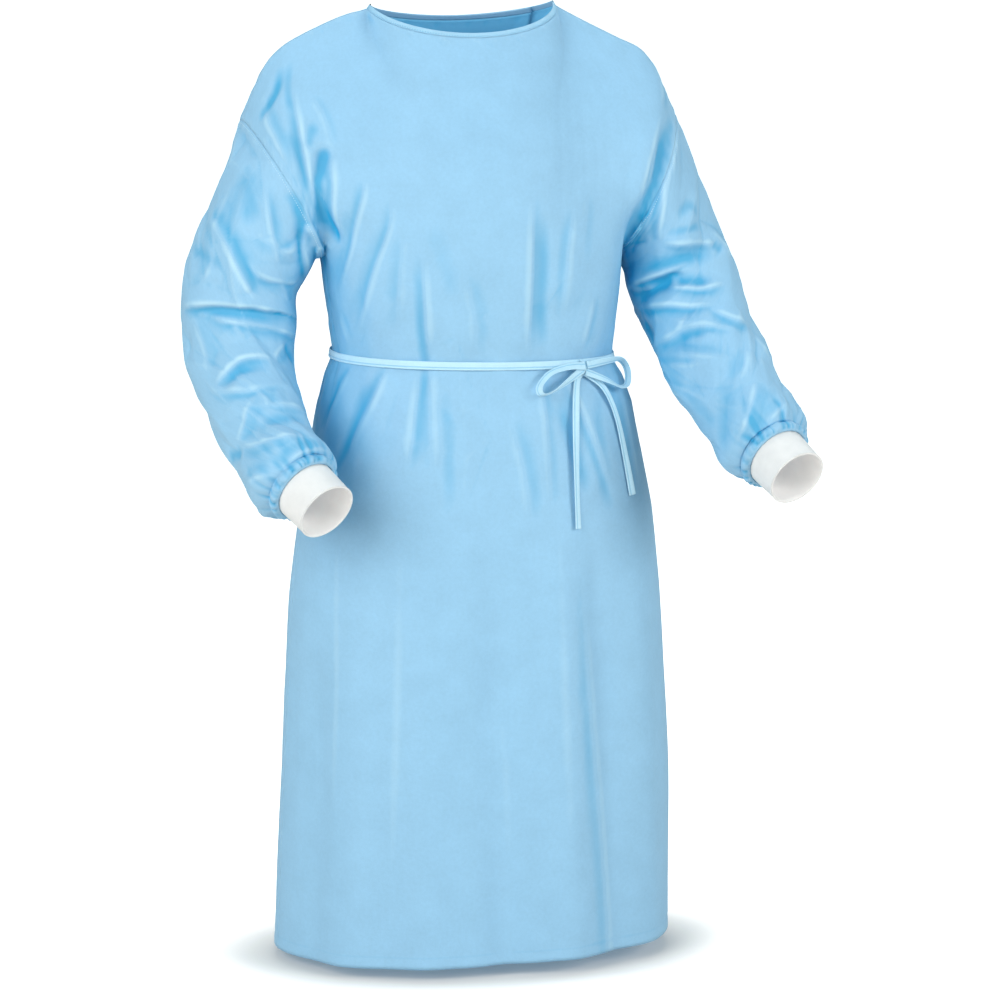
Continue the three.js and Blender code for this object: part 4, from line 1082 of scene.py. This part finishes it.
def gathers(turn, from_end, rng):
    """The blousing and the pinches before a cuff, and a mark for painted shade that is 1 in the deepest
    pinch.
    """
    blouse = np.exp(-(((from_end - BLOUSE_PLACE) / BLOUSE_REACH) ** 2))
    made = BLOUSE_RISE * blouse * np.ones_like(turn)
    pinched = np.zeros_like(made)
    for count, depth, width, length in PINCHES:
        spread_out = np.linspace(0, 2 * np.pi, count, endpoint=False)
        for angle in spread_out + rng.uniform(-0.09, 0.09, count):
            lean = rng.uniform(-0.004, 0.004)
            away = np.mod(turn - angle + lean * from_end + np.pi, 2 * np.pi) - np.pi
            away = away * END_RADIUS / rng.uniform(*width)
            fade = smooth(1.3 - from_end / rng.uniform(*length)) * smooth((from_end - 1.5) / 3)
            deep = rng.uniform(*depth) * fade * np.exp(-(away**2))
            made -= deep
            pinched = np.maximum(pinched, deep / depth[1])
    return made, pinched


# Crumples of three sizes. Columns: the rise, how many go round, how far apart they are down the
# sleeve, and how many levels are drawn.
SLEEVE_CRUMPLES = ((2.9, 9, 52, 10), (0.75, 19, 25, 22), (0.10, 40, 12, 45))
# On a panel the second column says how many times finer than ten across they are, and the last
# two how many are drawn each way.
PANEL_CRUMPLES = ((2.2, 1, 105, 11, 12), (0.8, 2.1, 48, 22, 26), (0.16, 4.5, 20, 46, 62))
SEWN_COLUMNS = {"front_panel": (0, -1), "back_panel_left": (0,), "back_panel_right": (-1,)}
PIT_LEVEL = -215.0
HEM_TURNING = 14.0
FIRST_SEED = 20

for k, (name, piece) in enumerate(CLOTH.items()):
    grid, rise = piece["grid"], piece["rise"]
    u, v = arc_lengths(grid, 1), arc_lengths(grid, 0)
    rng = np.random.default_rng(FIRST_SEED + k)
    if piece["wrap"]:
        free = smooth(v / 22) * smooth((v[-1:] - v - 14) / 34)
        share_u = u / (u[:, -1:] + np.linalg.norm(grid[:, :1] - grid[:, -1:], axis=-1))
        for high, across, apart, down in SLEEVE_CRUMPLES:
            rise += high * free * facets(share_u * across, v / apart, across, down, True, rng)
        rise += seam_relief(v, u, k)
        turn = np.linspace(0, 2 * np.pi, grid.shape[1], endpoint=False)[None, :]
        drawn_in, pinched = gathers(turn, v[-1:] - v, rng)
        rise += drawn_in
        # painted shade in the pinches
        piece["lines"] = piece["lines"] - PINCH_SHADE * pinched
    else:
        far_out = np.abs(piece["columns"])
        free = smooth((1 - far_out) / 0.06) * smooth((v[-1:] - v) / 25)
        near_pit = np.exp(-(((grid[..., 2] - PIT_LEVEL) / 90) ** 2)) * smooth((far_out - 0.45) / 0.4)
        near_belt = np.exp(-(((grid[..., 2] - BELT_LEVEL) / 110) ** 2))
        much = 0.20 + 0.9 * near_pit + 0.5 * near_belt
        much = much * (1 - 0.8 * smooth((grid[..., 2] + 190) / 110))
        cross = (piece["columns"] + 1) * 5 + 0 * v
        for high, times, apart, across, down in PANEL_CRUMPLES:
            rise += high * free * much * facets(cross * times, v / apart, across, down, False, rng)
        for column in SEWN_COLUMNS[name]:
            rise += seam_relief(np.abs(u - u[:, [column]]), v, k)
        rise += seam_relief(v[-1:] - v, u, k + 0.5)
        above_hem = v - v[:1]
        sewn = -0.35 * np.exp(-(((above_hem - HEM_TURNING) / 2.2) ** 2))
        rise += sewn + 0.25 * np.exp(-(((above_hem - 5) / 5) ** 2))
    # The mark paints a highlight on crests and shade in hollows, from how proud each point stands after
    # pressing; it is weaker next to the cuff and low on the skirt.
    flat_mark = fold_mark(grid, piece["wrap"])
    piece["formed"] = grid + piece["normals"] * rise[..., None]
    mark = fold_mark(piece["formed"], piece["wrap"]) - flat_mark
    if piece["wrap"]:
        mark *= 1 - 0.7 * np.exp(-(((v[-1:] - v) / 18) ** 2))
    low_down = 1 - 0.4 * smooth((-560 - grid[..., 2]) / 120)
    piece["mark"] = np.clip(0.45 * mark + piece["lines"] * low_down, -1, 1)

# How shut in each place is, from rays that leave the cloth and meet other cloth nearby; the
# cloth's material paints shade from it. The inner face is given a fixed painted shade.
SHADE_STEP = 3
SHADE_REACH = 0.22
SHADE_RAYS = 20
SHADE_START = 0.004
INSIDE_SHADE = 0.56
ANY_WAY = (0.31, 0.17, 0.93)
corners, quads, count = [], [], 0
for piece in CLOTH.values():
    coarse = piece["formed"][::SHADE_STEP, ::SHADE_STEP] * MM
    rows, cols = coarse.shape[:2]
    corners.append(coarse.reshape(-1, 3))
    quads += (quads_of(rows, cols, piece["wrap"]) + count).tolist()
    count += rows * cols
blocked = BVHTree.FromPolygons(np.concatenate(corners).tolist(), quads)
spiral = np.arange(SHADE_RAYS) + 0.5
lift = np.sqrt(1 - spiral / SHADE_RAYS)
spin = spiral * math.pi * (3 - math.sqrt(5))
fan = np.stack([np.sqrt(1 - lift**2) * np.cos(spin), np.sqrt(1 - lift**2) * np.sin(spin), lift], -1)
for name, piece in CLOTH.items():
    coarse = piece["formed"][::SHADE_STEP, ::SHADE_STEP] * MM
    out = grid_normals(piece["formed"], piece["wrap"])[::SHADE_STEP, ::SHADE_STEP]
    beside = units(np.cross(out, ANY_WAY))
    above = np.cross(out, beside)
    ways = sum(way[..., None, :] * fan[:, k:k + 1] for k, way in enumerate((beside, above, out)))
    met = np.zeros(coarse.shape[:2])
    for j, i in np.ndindex(met.shape):
        origin = Vector(coarse[j, i] + out[j, i] * SHADE_START)
        for way in ways[j, i]:
            distance = blocked.ray_cast(origin, Vector(way), SHADE_REACH)[3]
            if distance is not None:
                met[j, i] += 1 - 0.6 * distance / SHADE_REACH
    met /= SHADE_RAYS
    rows, cols = piece["formed"].shape[:2]
    if piece["wrap"]:
        met = np.concatenate([met, met[:, :1]], axis=1)
    over, down = np.arange(cols) / SHADE_STEP, np.arange(rows) / SHADE_STEP
    fine = np.array([np.interp(over, np.arange(met.shape[1]), line) for line in met])
    fine = np.array([np.interp(down, np.arange(len(met)), line) for line in fine.T]).T
    marks = {
        "fold": (piece["mark"], -piece["mark"]),
        # painted shade: the outer face from the rays, the inner face fixed
        "shade": (fine, np.full(fine.shape, INSIDE_SHADE)),
        "inside": (np.zeros(fine.shape), np.ones(fine.shape)),
    }
    piece["made"] = shell(name + "_cloth", piece["formed"], piece["wrap"], SPUN_THICK, gown_cloth, marks)


def belongs(piece, slot, *nodes):
    """The gown is all one body: each piece rides on it and stands for its own solids."""
    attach(piece, "root")
    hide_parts(*nodes)


# Each sleeve is one piece of cloth that stands for three solids, end to end.
for name, piece in CLOTH.items():
    nodes = [f"{name}_{part}" for part in ("upper", "middle", "lower")] if piece["wrap"] else [name]
    belongs(piece["made"], "nonwoven_cloth", *nodes)


# ---- binding of the neck -------------------------------------------------------------------
# A strip of the same nonwoven folded over the neck's edge and sewn down. It is stiffer and a
# little paler than the panels, and its ends stop at the edges of the lapped backs.
BINDING_WIDTH = 7.0
BINDING_THICK = 1.5
BINDING_LEAN = 0.35
BINDING_START = 0.8
BINDING_ROUND = 1.6
BINDING_CREASE = -0.62
BINDING_BLUE = (0.37, 0.62, 0.79)
TAPE_STEPS = 21
CREASE_REACH = 0.85
CREASE_DEPTH = 0.30
CREASE_SHADE = 1.3
binding_cloth = spun_material("binding_cloth", BINDING_BLUE, 0.30, 0.20)


def tape_section(width, thick, crease):
    """A flat ring of places with rounded edges and a crease pressed in its outer face."""
    x = np.linspace(-1, 1, TAPE_STEPS)
    half = thick / 2 * (1 - np.abs(x) ** 6) ** 0.5
    pressed = CREASE_DEPTH * np.exp(-(((x - crease) * width / 2 / CREASE_REACH) ** 2))
    outer = np.stack([x * width / 2, half - pressed * (np.abs(x) < 0.9)], -1)
    inner = np.stack([x * width / 2, -half], -1)[::-1]
    return np.concatenate([outer, inner[1:-1]])


def band(name, path, across, section, material):
    """A closed band: a ring of places, given across and out, carried along a path."""
    path, across = np.array(path), np.array(across)
    way = np.gradient(path, axis=0)
    out = units(np.cross(way, across))
    ring = np.broadcast_to(section, (len(path), *np.shape(section)[-2:]))
    points = path[:, None] + across[:, None] * ring[..., :1] + out[:, None] * ring[..., 1:]
    rows, cols = points.shape[:2]
    faces = quads_of(rows, cols, True).tolist()
    faces += [list(range(cols))[::-1], list(range((rows - 1) * cols, rows * cols))]
    mesh = bpy.data.meshes.new(name)
    mesh.from_pydata((points.reshape(-1, 3) * MM).tolist(), [], faces)
    round_it, onward = arc_lengths(points[0], 0), arc_lengths(path, 0)
    layer = mesh.uv_layers.new(name="cloth")
    for face in mesh.polygons:
        for k in face.loop_indices:
            row, col = divmod(mesh.loops[k].vertex_index, cols)
            lap = col == 0 and face.index % cols == cols - 1 and face.index < len(faces) - 2
            around = round_it[-1] + round_it[1] if lap else round_it[col]
            layer.data[k].uv = (around * MM, onward[row] * MM)
        face.use_smooth = face.index < len(faces) - 2
    finished = bmesh.new()
    finished.from_mesh(mesh)
    bmesh.ops.recalc_face_normals(finished, faces=finished.faces)
    finished.to_mesh(mesh)
    finished.free()
    # painted shade: darker where the outer face, inside its rounded edges, dips into a crease
    height, outer = ring[..., 1], slice(2, TAPE_STEPS - 2)
    mark = np.zeros((rows, cols))
    mark[:, outer] = CREASE_SHADE * np.clip(height[..., outer] / height.max() - 1, -1, 0)
    mesh.attributes.new("fold", "FLOAT", "POINT").data.foreach_set("value", mark.ravel())
    return placed(name, mesh, material)


def at_lengths(line, gone, wanted):
    """The places of a line at wanted lengths along it."""
    return np.stack([np.interp(wanted, gone, line[:, k]) for k in range(3)], -1)


neck_shares = np.linspace(0, NECK_SHARE, 48)
back_shares = np.linspace(-flap, NECK_SHARE, 76)
neck_places = [("back", -s, -FLAP_LIFT) for s in back_shares]
neck_places += [("front", s, 0.0) for s in np.concatenate([-neck_shares[-2::-1], neck_shares[1:-1]])]
neck_places += [("back", s, FLAP_LIFT) for s in back_shares[::-1]]
rows = [[], []]
for face, share, lift_here in neck_places:
    share = np.array(float(share))
    edge = top_point(face, share)
    below = body_point(face, share, np.array(TOP - 12))
    eased = smooth((flap + FLAP_EASE - abs(share)) / FLAP_EASE)
    onward = unit(edge - below)
    inward = unit(np.array([-edge[0], -edge[1] * 0.9, 0.0]))
    onward = unit(onward + (inward - onward) * BINDING_LEAN)
    lifted = edge + (0.0, eased * lift_here, 0.0)
    rows[0].append(lifted + onward * BINDING_START)
    rows[1].append(lifted + onward * BINDING_WIDTH)
rows = np.array(rows)
gone = arc_lengths(rows[0], 0)
steps = np.linspace(0, gone[-1], 300)
rows = np.array([at_lengths(row, gone, steps) for row in rows])
neck_across = units(rows[1] - rows[0])
neck_path = rows.mean(0)
binding_width = BINDING_WIDTH - BINDING_START + BINDING_ROUND
section = tape_section(binding_width, BINDING_THICK, BINDING_CREASE)
neck_binding = band("neck_binding_tape", neck_path, neck_across, section, binding_cloth)
belongs(neck_binding, "folded_tape", "neck_binding")


# ---- belt, bow and free ends ---------------------------------------------------------------
# One long tape of nonwoven, folded in three lengthwise and pressed. It goes once round the
# waist and is tied in a flat bow in front, a little to the wearer's left.
TAPE_WIDTH = 10.0
TAPE_THICK = 1.2
TAPE_CREASE = -0.40
TAPE_BLUE = (0.56, 0.80, 0.92)
KNOT_SHARE = 0.42
KNOT_DROP = 4.0
BELT_HALF = 5.0
BELT_OUT = 1.7
CLEAR_OF_CLOTH = 0.95
tape_cloth = spun_material("tape_cloth", TAPE_BLUE, 0.30, 0.25)
TAPE = tape_section(TAPE_WIDTH, TAPE_THICK, TAPE_CREASE)


def on_cloth(name, across, level, out=0.0):
    """A place on a panel as it is folded, moved out, with the cloth's outward way there."""
    piece = CLOTH[name]
    columns = piece["columns"]
    turned = columns[-1] < columns[0]
    place = np.interp(across, columns[::-1] if turned else columns, np.arange(len(columns)))
    i = len(columns) - 1 - place if turned else place
    j = np.interp(level, LEVELS, np.arange(len(LEVELS)))
    i0, j0 = min(int(i), len(columns) - 2), min(int(j), len(LEVELS) - 2)
    t, s = i - i0, j - j0
    weights = ((0, 0, (1 - t) * (1 - s)), (0, 1, t * (1 - s)), (1, 0, (1 - t) * s), (1, 1, t * s))
    spot = sum(w * piece["grid"][j0 + b, i0 + a] for b, a, w in weights)
    way = unit(sum(w * piece["normals"][j0 + b, i0 + a] for b, a, w in weights))
    rise = max(piece["rise"][j0 + b, i0 + a] for b, a, _ in weights)
    return spot + way * max(out, rise + CLEAR_OF_CLOTH), way


belt_places = [("front_panel", s) for s in np.linspace(KNOT_SHARE, 1, 60)]
belt_places += [("back_panel_left", s) for s in np.linspace(1, -flap, 130)[1:]]
belt_places += [("back_panel_right", s) for s in np.linspace(-flap, -1, 80)[1:]]
belt_places += [("front_panel", s) for s in np.linspace(-1, KNOT_SHARE, 150)[1:]]
low, high = (
    np.array([on_cloth(name, s, BELT_LEVEL + side * BELT_HALF, BELT_OUT)[0] for name, s in belt_places])
    for side in (-1, 1)
)


def eased_line(line, times):
    """Evens a line out, as a pulled tape does, but keeps its ends."""
    for _ in range(times):
        line[1:-1] = (line[:-2] + 2 * line[1:-1] + line[2:]) / 4
    return line


low, high = eased_line(low, 6), eased_line(high, 6)
belt_path = (low + high) / 2
belt = band("belt_tape", belt_path, units(high - low), TAPE, tape_cloth)

# The bow's places count from the knot's: x, z and the distance out from the cloth.
LOOP_RIGHTWARD = [(-3, 3, 12.4), (-23, 4, 13), (-45, -4, 13), (-59, -18, 13), (-57, -28, 13),
                  (-43, -25, 12), (-23, -14, 10), (-3, -1, 9.2)]
LOOP_LEFTWARD = [(-1, 4, 13), (29, 7, 13.5), (48, 2, 13), (56, -13, 14), (53, -26, 13),
                 (43, -28, 12), (26, -18, 11), (0, -5, 8.4)]
TAIL_RIGHTWARD = [(-3, -4, 3.8), (-10, -19, 3.8), (-14, -80, 4.5), (-15, -140, 4.5), (-15, -187, 4.5)]
TAIL_LEFTWARD = [(-1, -4, 6.4), (24, -24, 5), (40, -59, 4.5), (50, -109, 4.5), (58, -156, 4.5)]
knot_seat, out_here = on_cloth("front_panel", KNOT_SHARE, BELT_LEVEL - KNOT_DROP, -1.0)
knot_seat = knot_seat - out_here * CLEAR_OF_CLOTH


def bow_place(x, z, out):
    level = knot_seat[2] + z
    ring = along(RINGS, np.interp(level, RINGS[:, 0], np.arange(len(RINGS))))
    reach = np.clip((knot_seat[0] + x - ring[5]) / ring[1], -0.98, 0.98)
    return on_cloth("front_panel", math.asin(reach) * 2 / math.pi, level, out)[0]


def smooth_path(places, steps):
    """A curve through the places, with its points at even distances."""
    curve = along(np.array(places), np.linspace(0, len(places) - 1, 40 * len(places)))
    curve = eased_line(curve, 30)
    gone = arc_lengths(curve, 0)
    return at_lengths(curve, gone, np.linspace(0, gone[-1], steps))


def flat_on_cloth(way):
    return unit(np.cross(out_here, way))


LOOP_LEAN = 0.45
LOOP_BEND_LEAN = 0.82
LOOP_END_LEAN = 0.1
LOOP_END_REACH = 0.25
LOOP_BEND = 0.52
LOOP_BEND_REACH = 0.34


def leaning_out(way, share):
    bend = smooth(1 - abs(share - LOOP_BEND) / LOOP_BEND_REACH)
    ends = smooth(1 - min(share, 1 - share) / LOOP_END_REACH)
    lean = LOOP_LEAN + (LOOP_BEND_LEAN - LOOP_LEAN) * bend
    lean += (LOOP_END_LEAN - lean) * ends
    flat = flat_on_cloth(way)
    return unit(flat + (out_here - flat) * lean)


def tie(name, places, steps, loop, width, phase):
    path = smooth_path([bow_place(*p) for p in places], steps)
    across = []
    for k, way in enumerate(np.gradient(path, axis=0)):
        share = k / (steps - 1)
        ahead = leaning_out(way, share) if loop else flat_on_cloth(way)
        curl = (0.10 if loop else 0.22) * math.sin(5.0 * share + phase) * smooth(share / 0.2)
        across.append(unit(ahead + out_here * curl))
    narrow = width * (1 - 0.06 * np.sin(7 * np.linspace(0, 1, steps) + phase))
    section = TAPE * np.stack([narrow, np.ones(steps)], -1)[:, None]
    return band(name, path, across, section, tape_cloth), path


# Columns: the places, the steps, whether it is a loop, how much of the tape's width shows, and
# where its curl starts.
BOW = {
    "bow_loop_rightward": (LOOP_RIGHTWARD, 120, True, 0.98, 0.4),
    "bow_loop_leftward": (LOOP_LEFTWARD, 120, True, 0.96, 2.0),
    "belt_tail_rightward": (TAIL_RIGHTWARD, 130, False, 0.97, 1.0),
    "belt_tail_leftward": (TAIL_LEFTWARD, 120, False, 0.88, 3.2),
}
tied = {node: tie(node + "_tape", *row) for node, row in BOW.items()}

# The knot: three short turns of tape, each tilted its own way, wrap round where the loops cross.
KNOT_OUT = 6.75
KNOT_TURNS = 64
KNOT_DRIFT = 1.6
knot_middle = knot_seat + out_here * KNOT_OUT
knot_side = unit(np.cross(out_here, (0.0, 0.0, 1.0)))
knot_up = np.cross(knot_side, out_here)


def knot_wrap(name, tilt, out, up, spin, width):
    """A turn of tape round the knot, to the same angle each way about a tilted axis."""
    axis = unit(knot_side * math.cos(tilt) + knot_up * math.sin(tilt))
    rising = np.cross(axis, out_here)
    path = [knot_middle + out_here * out * math.cos(a) + rising * up * math.sin(a)
            + axis * KNOT_DRIFT * math.sin(a / 2) for a in np.linspace(-spin, spin, KNOT_TURNS)]
    return band(name, path, [axis] * KNOT_TURNS, TAPE * (width, 1.0), tape_cloth)


wraps = [
    knot_wrap("belt_knot_tape", 0.30, 4.6, 5.9, 2.9, 0.74),
    knot_wrap("knot_under", -0.85, 3.6, 5.2, 2.6, 0.80),
    knot_wrap("knot_tuck", 1.05, 3.0, 5.6, 2.4, 0.70),
]
joined = bmesh.new()
for wrap in wraps:
    joined.from_mesh(wrap.data)
joined.to_mesh(wraps[0].data)
joined.free()
for spare in wraps[1:]:
    bpy.data.objects.remove(spare)
belt_knot = wraps[0]

belongs(belt, "folded_tape", "belt_waist")
for node, (piece, path) in tied.items():
    belongs(piece, "folded_tape", node)
belongs(belt_knot, "folded_tape", "belt_knot")


# ---- cuffs ---------------------------------------------------------------------------------
# White tubes of fine knit, doubled over at the open end, that the sleeves are gathered onto.
CUFF_LENGTH = 45.3
CUFF_START = 36.6
CUFF_RIM = 35.0
KNIT_THICK = 2.0
KNIT_COLUMNS = 176
KNIT_INSIDE = 26.0
WALE_PITCH = 0.0013
HAIR_SCALE = 900.0
KNIT_RELIEF = 0.00035
KNIT_WHITE = (0.90, 0.86, 0.825)
KNIT_CLOUD_AND_SHADE = (0.81, 0.775, 0.745)
# The knit's inner face glows a little: painted light for what comes through it.
KNIT_INSIDE_GLOW = (0.140, 0.132, 0.125)


def knit_group():
    """Fine upright ribs with a hairy surface: the vector is in metres along the cloth."""
    inputs = {"Vector": "Vector", "Wale Pitch": WALE_PITCH, "Hair Scale": HAIR_SCALE}
    group, given, result = new_group("fine_knit", "ShaderNodeTree", inputs,
                                     {"Shade": "Float", "Height": "Float"})
    parts = add_node(group, "ShaderNodeSeparateXYZ", {0: given["Vector"]}).outputs
    step = maths(group, "DIVIDE", 2 * math.pi, given["Wale Pitch"])
    across = maths(group, "MULTIPLY", parts[0], step)
    onward = maths(group, "MULTIPLY", parts[1], step)
    leg = maths(group, "MULTIPLY", maths(group, "SINE", onward), 0.35)
    rib = maths(group, "SINE", maths(group, "ADD", across, leg))
    hair = noise(group, given["Vector"], given["Hair Scale"], 3.0, 0.6)
    cloud = noise(group, given["Vector"], 60.0, 3.0)
    # The shade output is random tone from the hair and clouds, and painted shade a little darker between
    # the ribs.
    shade = maths(group, "MULTIPLY_ADD", hair, 0.25, cloud)
    feed(result, {
        "Height": maths(group, "MULTIPLY_ADD", rib, 0.5, hair),
        "Shade": maths(group, "MULTIPLY_ADD", rib, -0.10, shade),
    })
    return group


KNIT = knit_group()
plain = {"Roughness": 0.85, "Specular IOR Level": 0.2, "Sheen Weight": 0.25, "Sheen Roughness": 0.5,
         "Emission Strength": 1.0}
knit_white, tree, shader = new_material("knit_white", plain)
knit = along_cloth(tree, KNIT)
feed(shader, {
    # random tone, and painted shade between the ribs
    "Base Color": colour_mix(tree, spread(tree, knit["Shade"], 0.35, 0.95), KNIT_WHITE, KNIT_CLOUD_AND_SHADE),
    # painted light: the inner face of the knit glows
    "Emission Color": colour_mix(tree, attribute(tree, "inside"), BLACK, KNIT_INSIDE_GLOW),
    "Normal": relief(tree, knit["Height"], 0.35, KNIT_RELIEF),
})

for side, name in ((-1, "right"), (1, "left")):
    end = STATIONS[side][-1]
    middle, under, fore = end[:3], unit(end[3:6]), unit(end[6:9])
    onward = np.cross(under, fore) * -side
    t = np.linspace(-KNIT_INSIDE / CUFF_LENGTH, 1, 46)
    turn = -side * np.linspace(0, 2 * np.pi, KNIT_COLUMNS, endpoint=False)
    turn, t = np.meshgrid(turn, t)
    radius = CUFF_START + (CUFF_RIM - CUFF_START) * np.abs(t)
    # the doubled rim swells a little, and the join puckers the start
    radius += 0.45 * np.exp(-(((1 - t) * CUFF_LENGTH / 2.2) ** 2))
    radius += 0.30 * np.sin(23 * turn) * np.exp(-(t * CUFF_LENGTH / 5) ** 2)
    radius += 0.35 * np.sin(2 * turn + 1) * smooth(t)
    place = middle + onward * (0.3 + (CUFF_LENGTH - 0.3) * t)[..., None]
    place = place + under * (radius * np.cos(turn))[..., None]
    place = place + fore * (radius * np.sin(turn))[..., None]
    faces_in = {"inside": (np.zeros(t.shape), np.ones(t.shape))}
    cuff = shell(f"cuff_{name}_knit", place, True, KNIT_THICK, knit_white, faces_in)
    belongs(cuff, "knitted_cuff", f"cuff_{name}")


# ---- stitches ------------------------------------------------------------------------------
# Pale blue thread in short even stitches, sewn beside the armhole seams and round the
# binding. Each row of stitches follows a line that lies on the cloth.
THREAD_BLUE = (0.62, 0.79, 0.88)
STITCH_PITCH = 3.2
STITCH_LENGTH = 2.1
STITCH_RADIUS = 0.26
THREAD_SCALE = 1400.0
THREAD_RELIEF = 0.0002
thread, tree, shader = new_material("thread", {"Roughness": 0.6})
place = add_node(tree, "ShaderNodeTexCoord", {}).outputs["Object"]
twist = noise(tree, place, THREAD_SCALE, 2.0)
feed(shader, {
    "Base Color": colour_mix(tree, twist, *shades_of(THREAD_BLUE, 0.9, 1.08)),
    "Normal": relief(tree, twist, 0.4, THREAD_RELIEF),
})


def stitch_tree():
    """Stitches laid end to end along every line of a mesh."""
    inputs = {"Geometry": "Geometry", "Pitch": "Float", "Length": "Float", "Radius": "Float",
              "Thread": "Material"}
    made, given, result = new_group("stitch_row", "GeometryNodeTree", inputs, {"Geometry": "Geometry"})
    line = add_node(made, "GeometryNodeMeshToCurve", {"Mesh": given["Geometry"]}).outputs["Curve"]
    spots = {"Curve": line, "Length": given["Pitch"]}
    spots = add_node(made, "GeometryNodeCurveToPoints", spots, mode="LENGTH").outputs
    ball = add_node(made, "GeometryNodeMeshUVSphere", {"Segments": 6, "Rings": 4, "Radius": 1.0})
    half = maths(made, "MULTIPLY", given["Length"], 0.5)
    size = {"X": half, "Y": given["Radius"], "Z": given["Radius"]}
    size = add_node(made, "ShaderNodeCombineXYZ", size).outputs["Vector"]
    turn = {"Vector": spots["Tangent"]}
    turn = add_node(made, "FunctionNodeAlignRotationToVector", turn, axis="X").outputs["Rotation"]
    laid = {"Points": spots["Points"], "Instance": ball.outputs["Mesh"], "Rotation": turn, "Scale": size}
    laid = add_node(made, "GeometryNodeInstanceOnPoints", laid).outputs["Instances"]
    real = add_node(made, "GeometryNodeRealizeInstances", {"Geometry": laid}).outputs["Geometry"]
    finish = {"Geometry": real, "Material": given["Thread"]}
    finish = add_node(made, "GeometryNodeSetMaterial", finish).outputs["Geometry"]
    feed(result, {"Geometry": finish})
    return made


STITCHES = stitch_tree()


def sew(name, lines):
    """Rows of stitches along lines of places, as one plain mesh."""
    points = np.concatenate(lines) * MM
    edges, start = [], 0
    for line in lines:
        edges += [(start + k, start + k + 1) for k in range(len(line) - 1)]
        start += len(line)
    guide = bpy.data.meshes.new(name + "_guide")
    guide.from_pydata(points.tolist(), edges, [])
    made = bpy.data.objects.new(name, guide)
    scene.collection.objects.link(made)
    rows = made.modifiers.new("rows", "NODES")
    rows.node_group = STITCHES
    values = {"Pitch": STITCH_PITCH * MM, "Length": STITCH_LENGTH * MM, "Radius": STITCH_RADIUS * MM,
              "Thread": thread}
    for item in STITCHES.interface.items_tree:
        if item.in_out == "INPUT" and item.name in values:
            rows[item.identifier] = values[item.name]
    graph = bpy.context.evaluated_depsgraph_get()
    plain = bpy.data.meshes.new_from_object(made.evaluated_get(graph))
    made.modifiers.remove(rows)
    made.data = plain
    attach(made, "root")
    return made


SEAM_MARGIN = 4.0
STITCH_PROUD = 0.10
STITCH_SUNK = 0.05
BINDING_SEWN_AT = 0.31
for side, name in ((-1, "right"), (1, "left")):
    piece = CLOTH["sleeve_" + name]
    rows_down = arc_lengths(piece["formed"], 0)
    line = []
    for k in range(piece["formed"].shape[1]):
        spot = np.interp(SEAM_MARGIN, rows_down[:, k], np.arange(len(rows_down)))
        j, t = int(spot), spot - int(spot)
        place = piece["formed"][j, k] * (1 - t) + piece["formed"][j + 1, k] * t
        line.append(place + piece["normals"][j, k] * (SPUN_THICK / 2 + STITCH_PROUD))
    sew(f"stitches_armhole_{name}", [np.array(line + line[:1])])
out_of_neck = units(np.cross(np.gradient(neck_path, axis=0), neck_across))
low_edge = neck_path - neck_across * binding_width * BINDING_SEWN_AT
sew("stitches_binding", [low_edge + out_of_neck * (BINDING_THICK / 2 - STITCH_SUNK)])
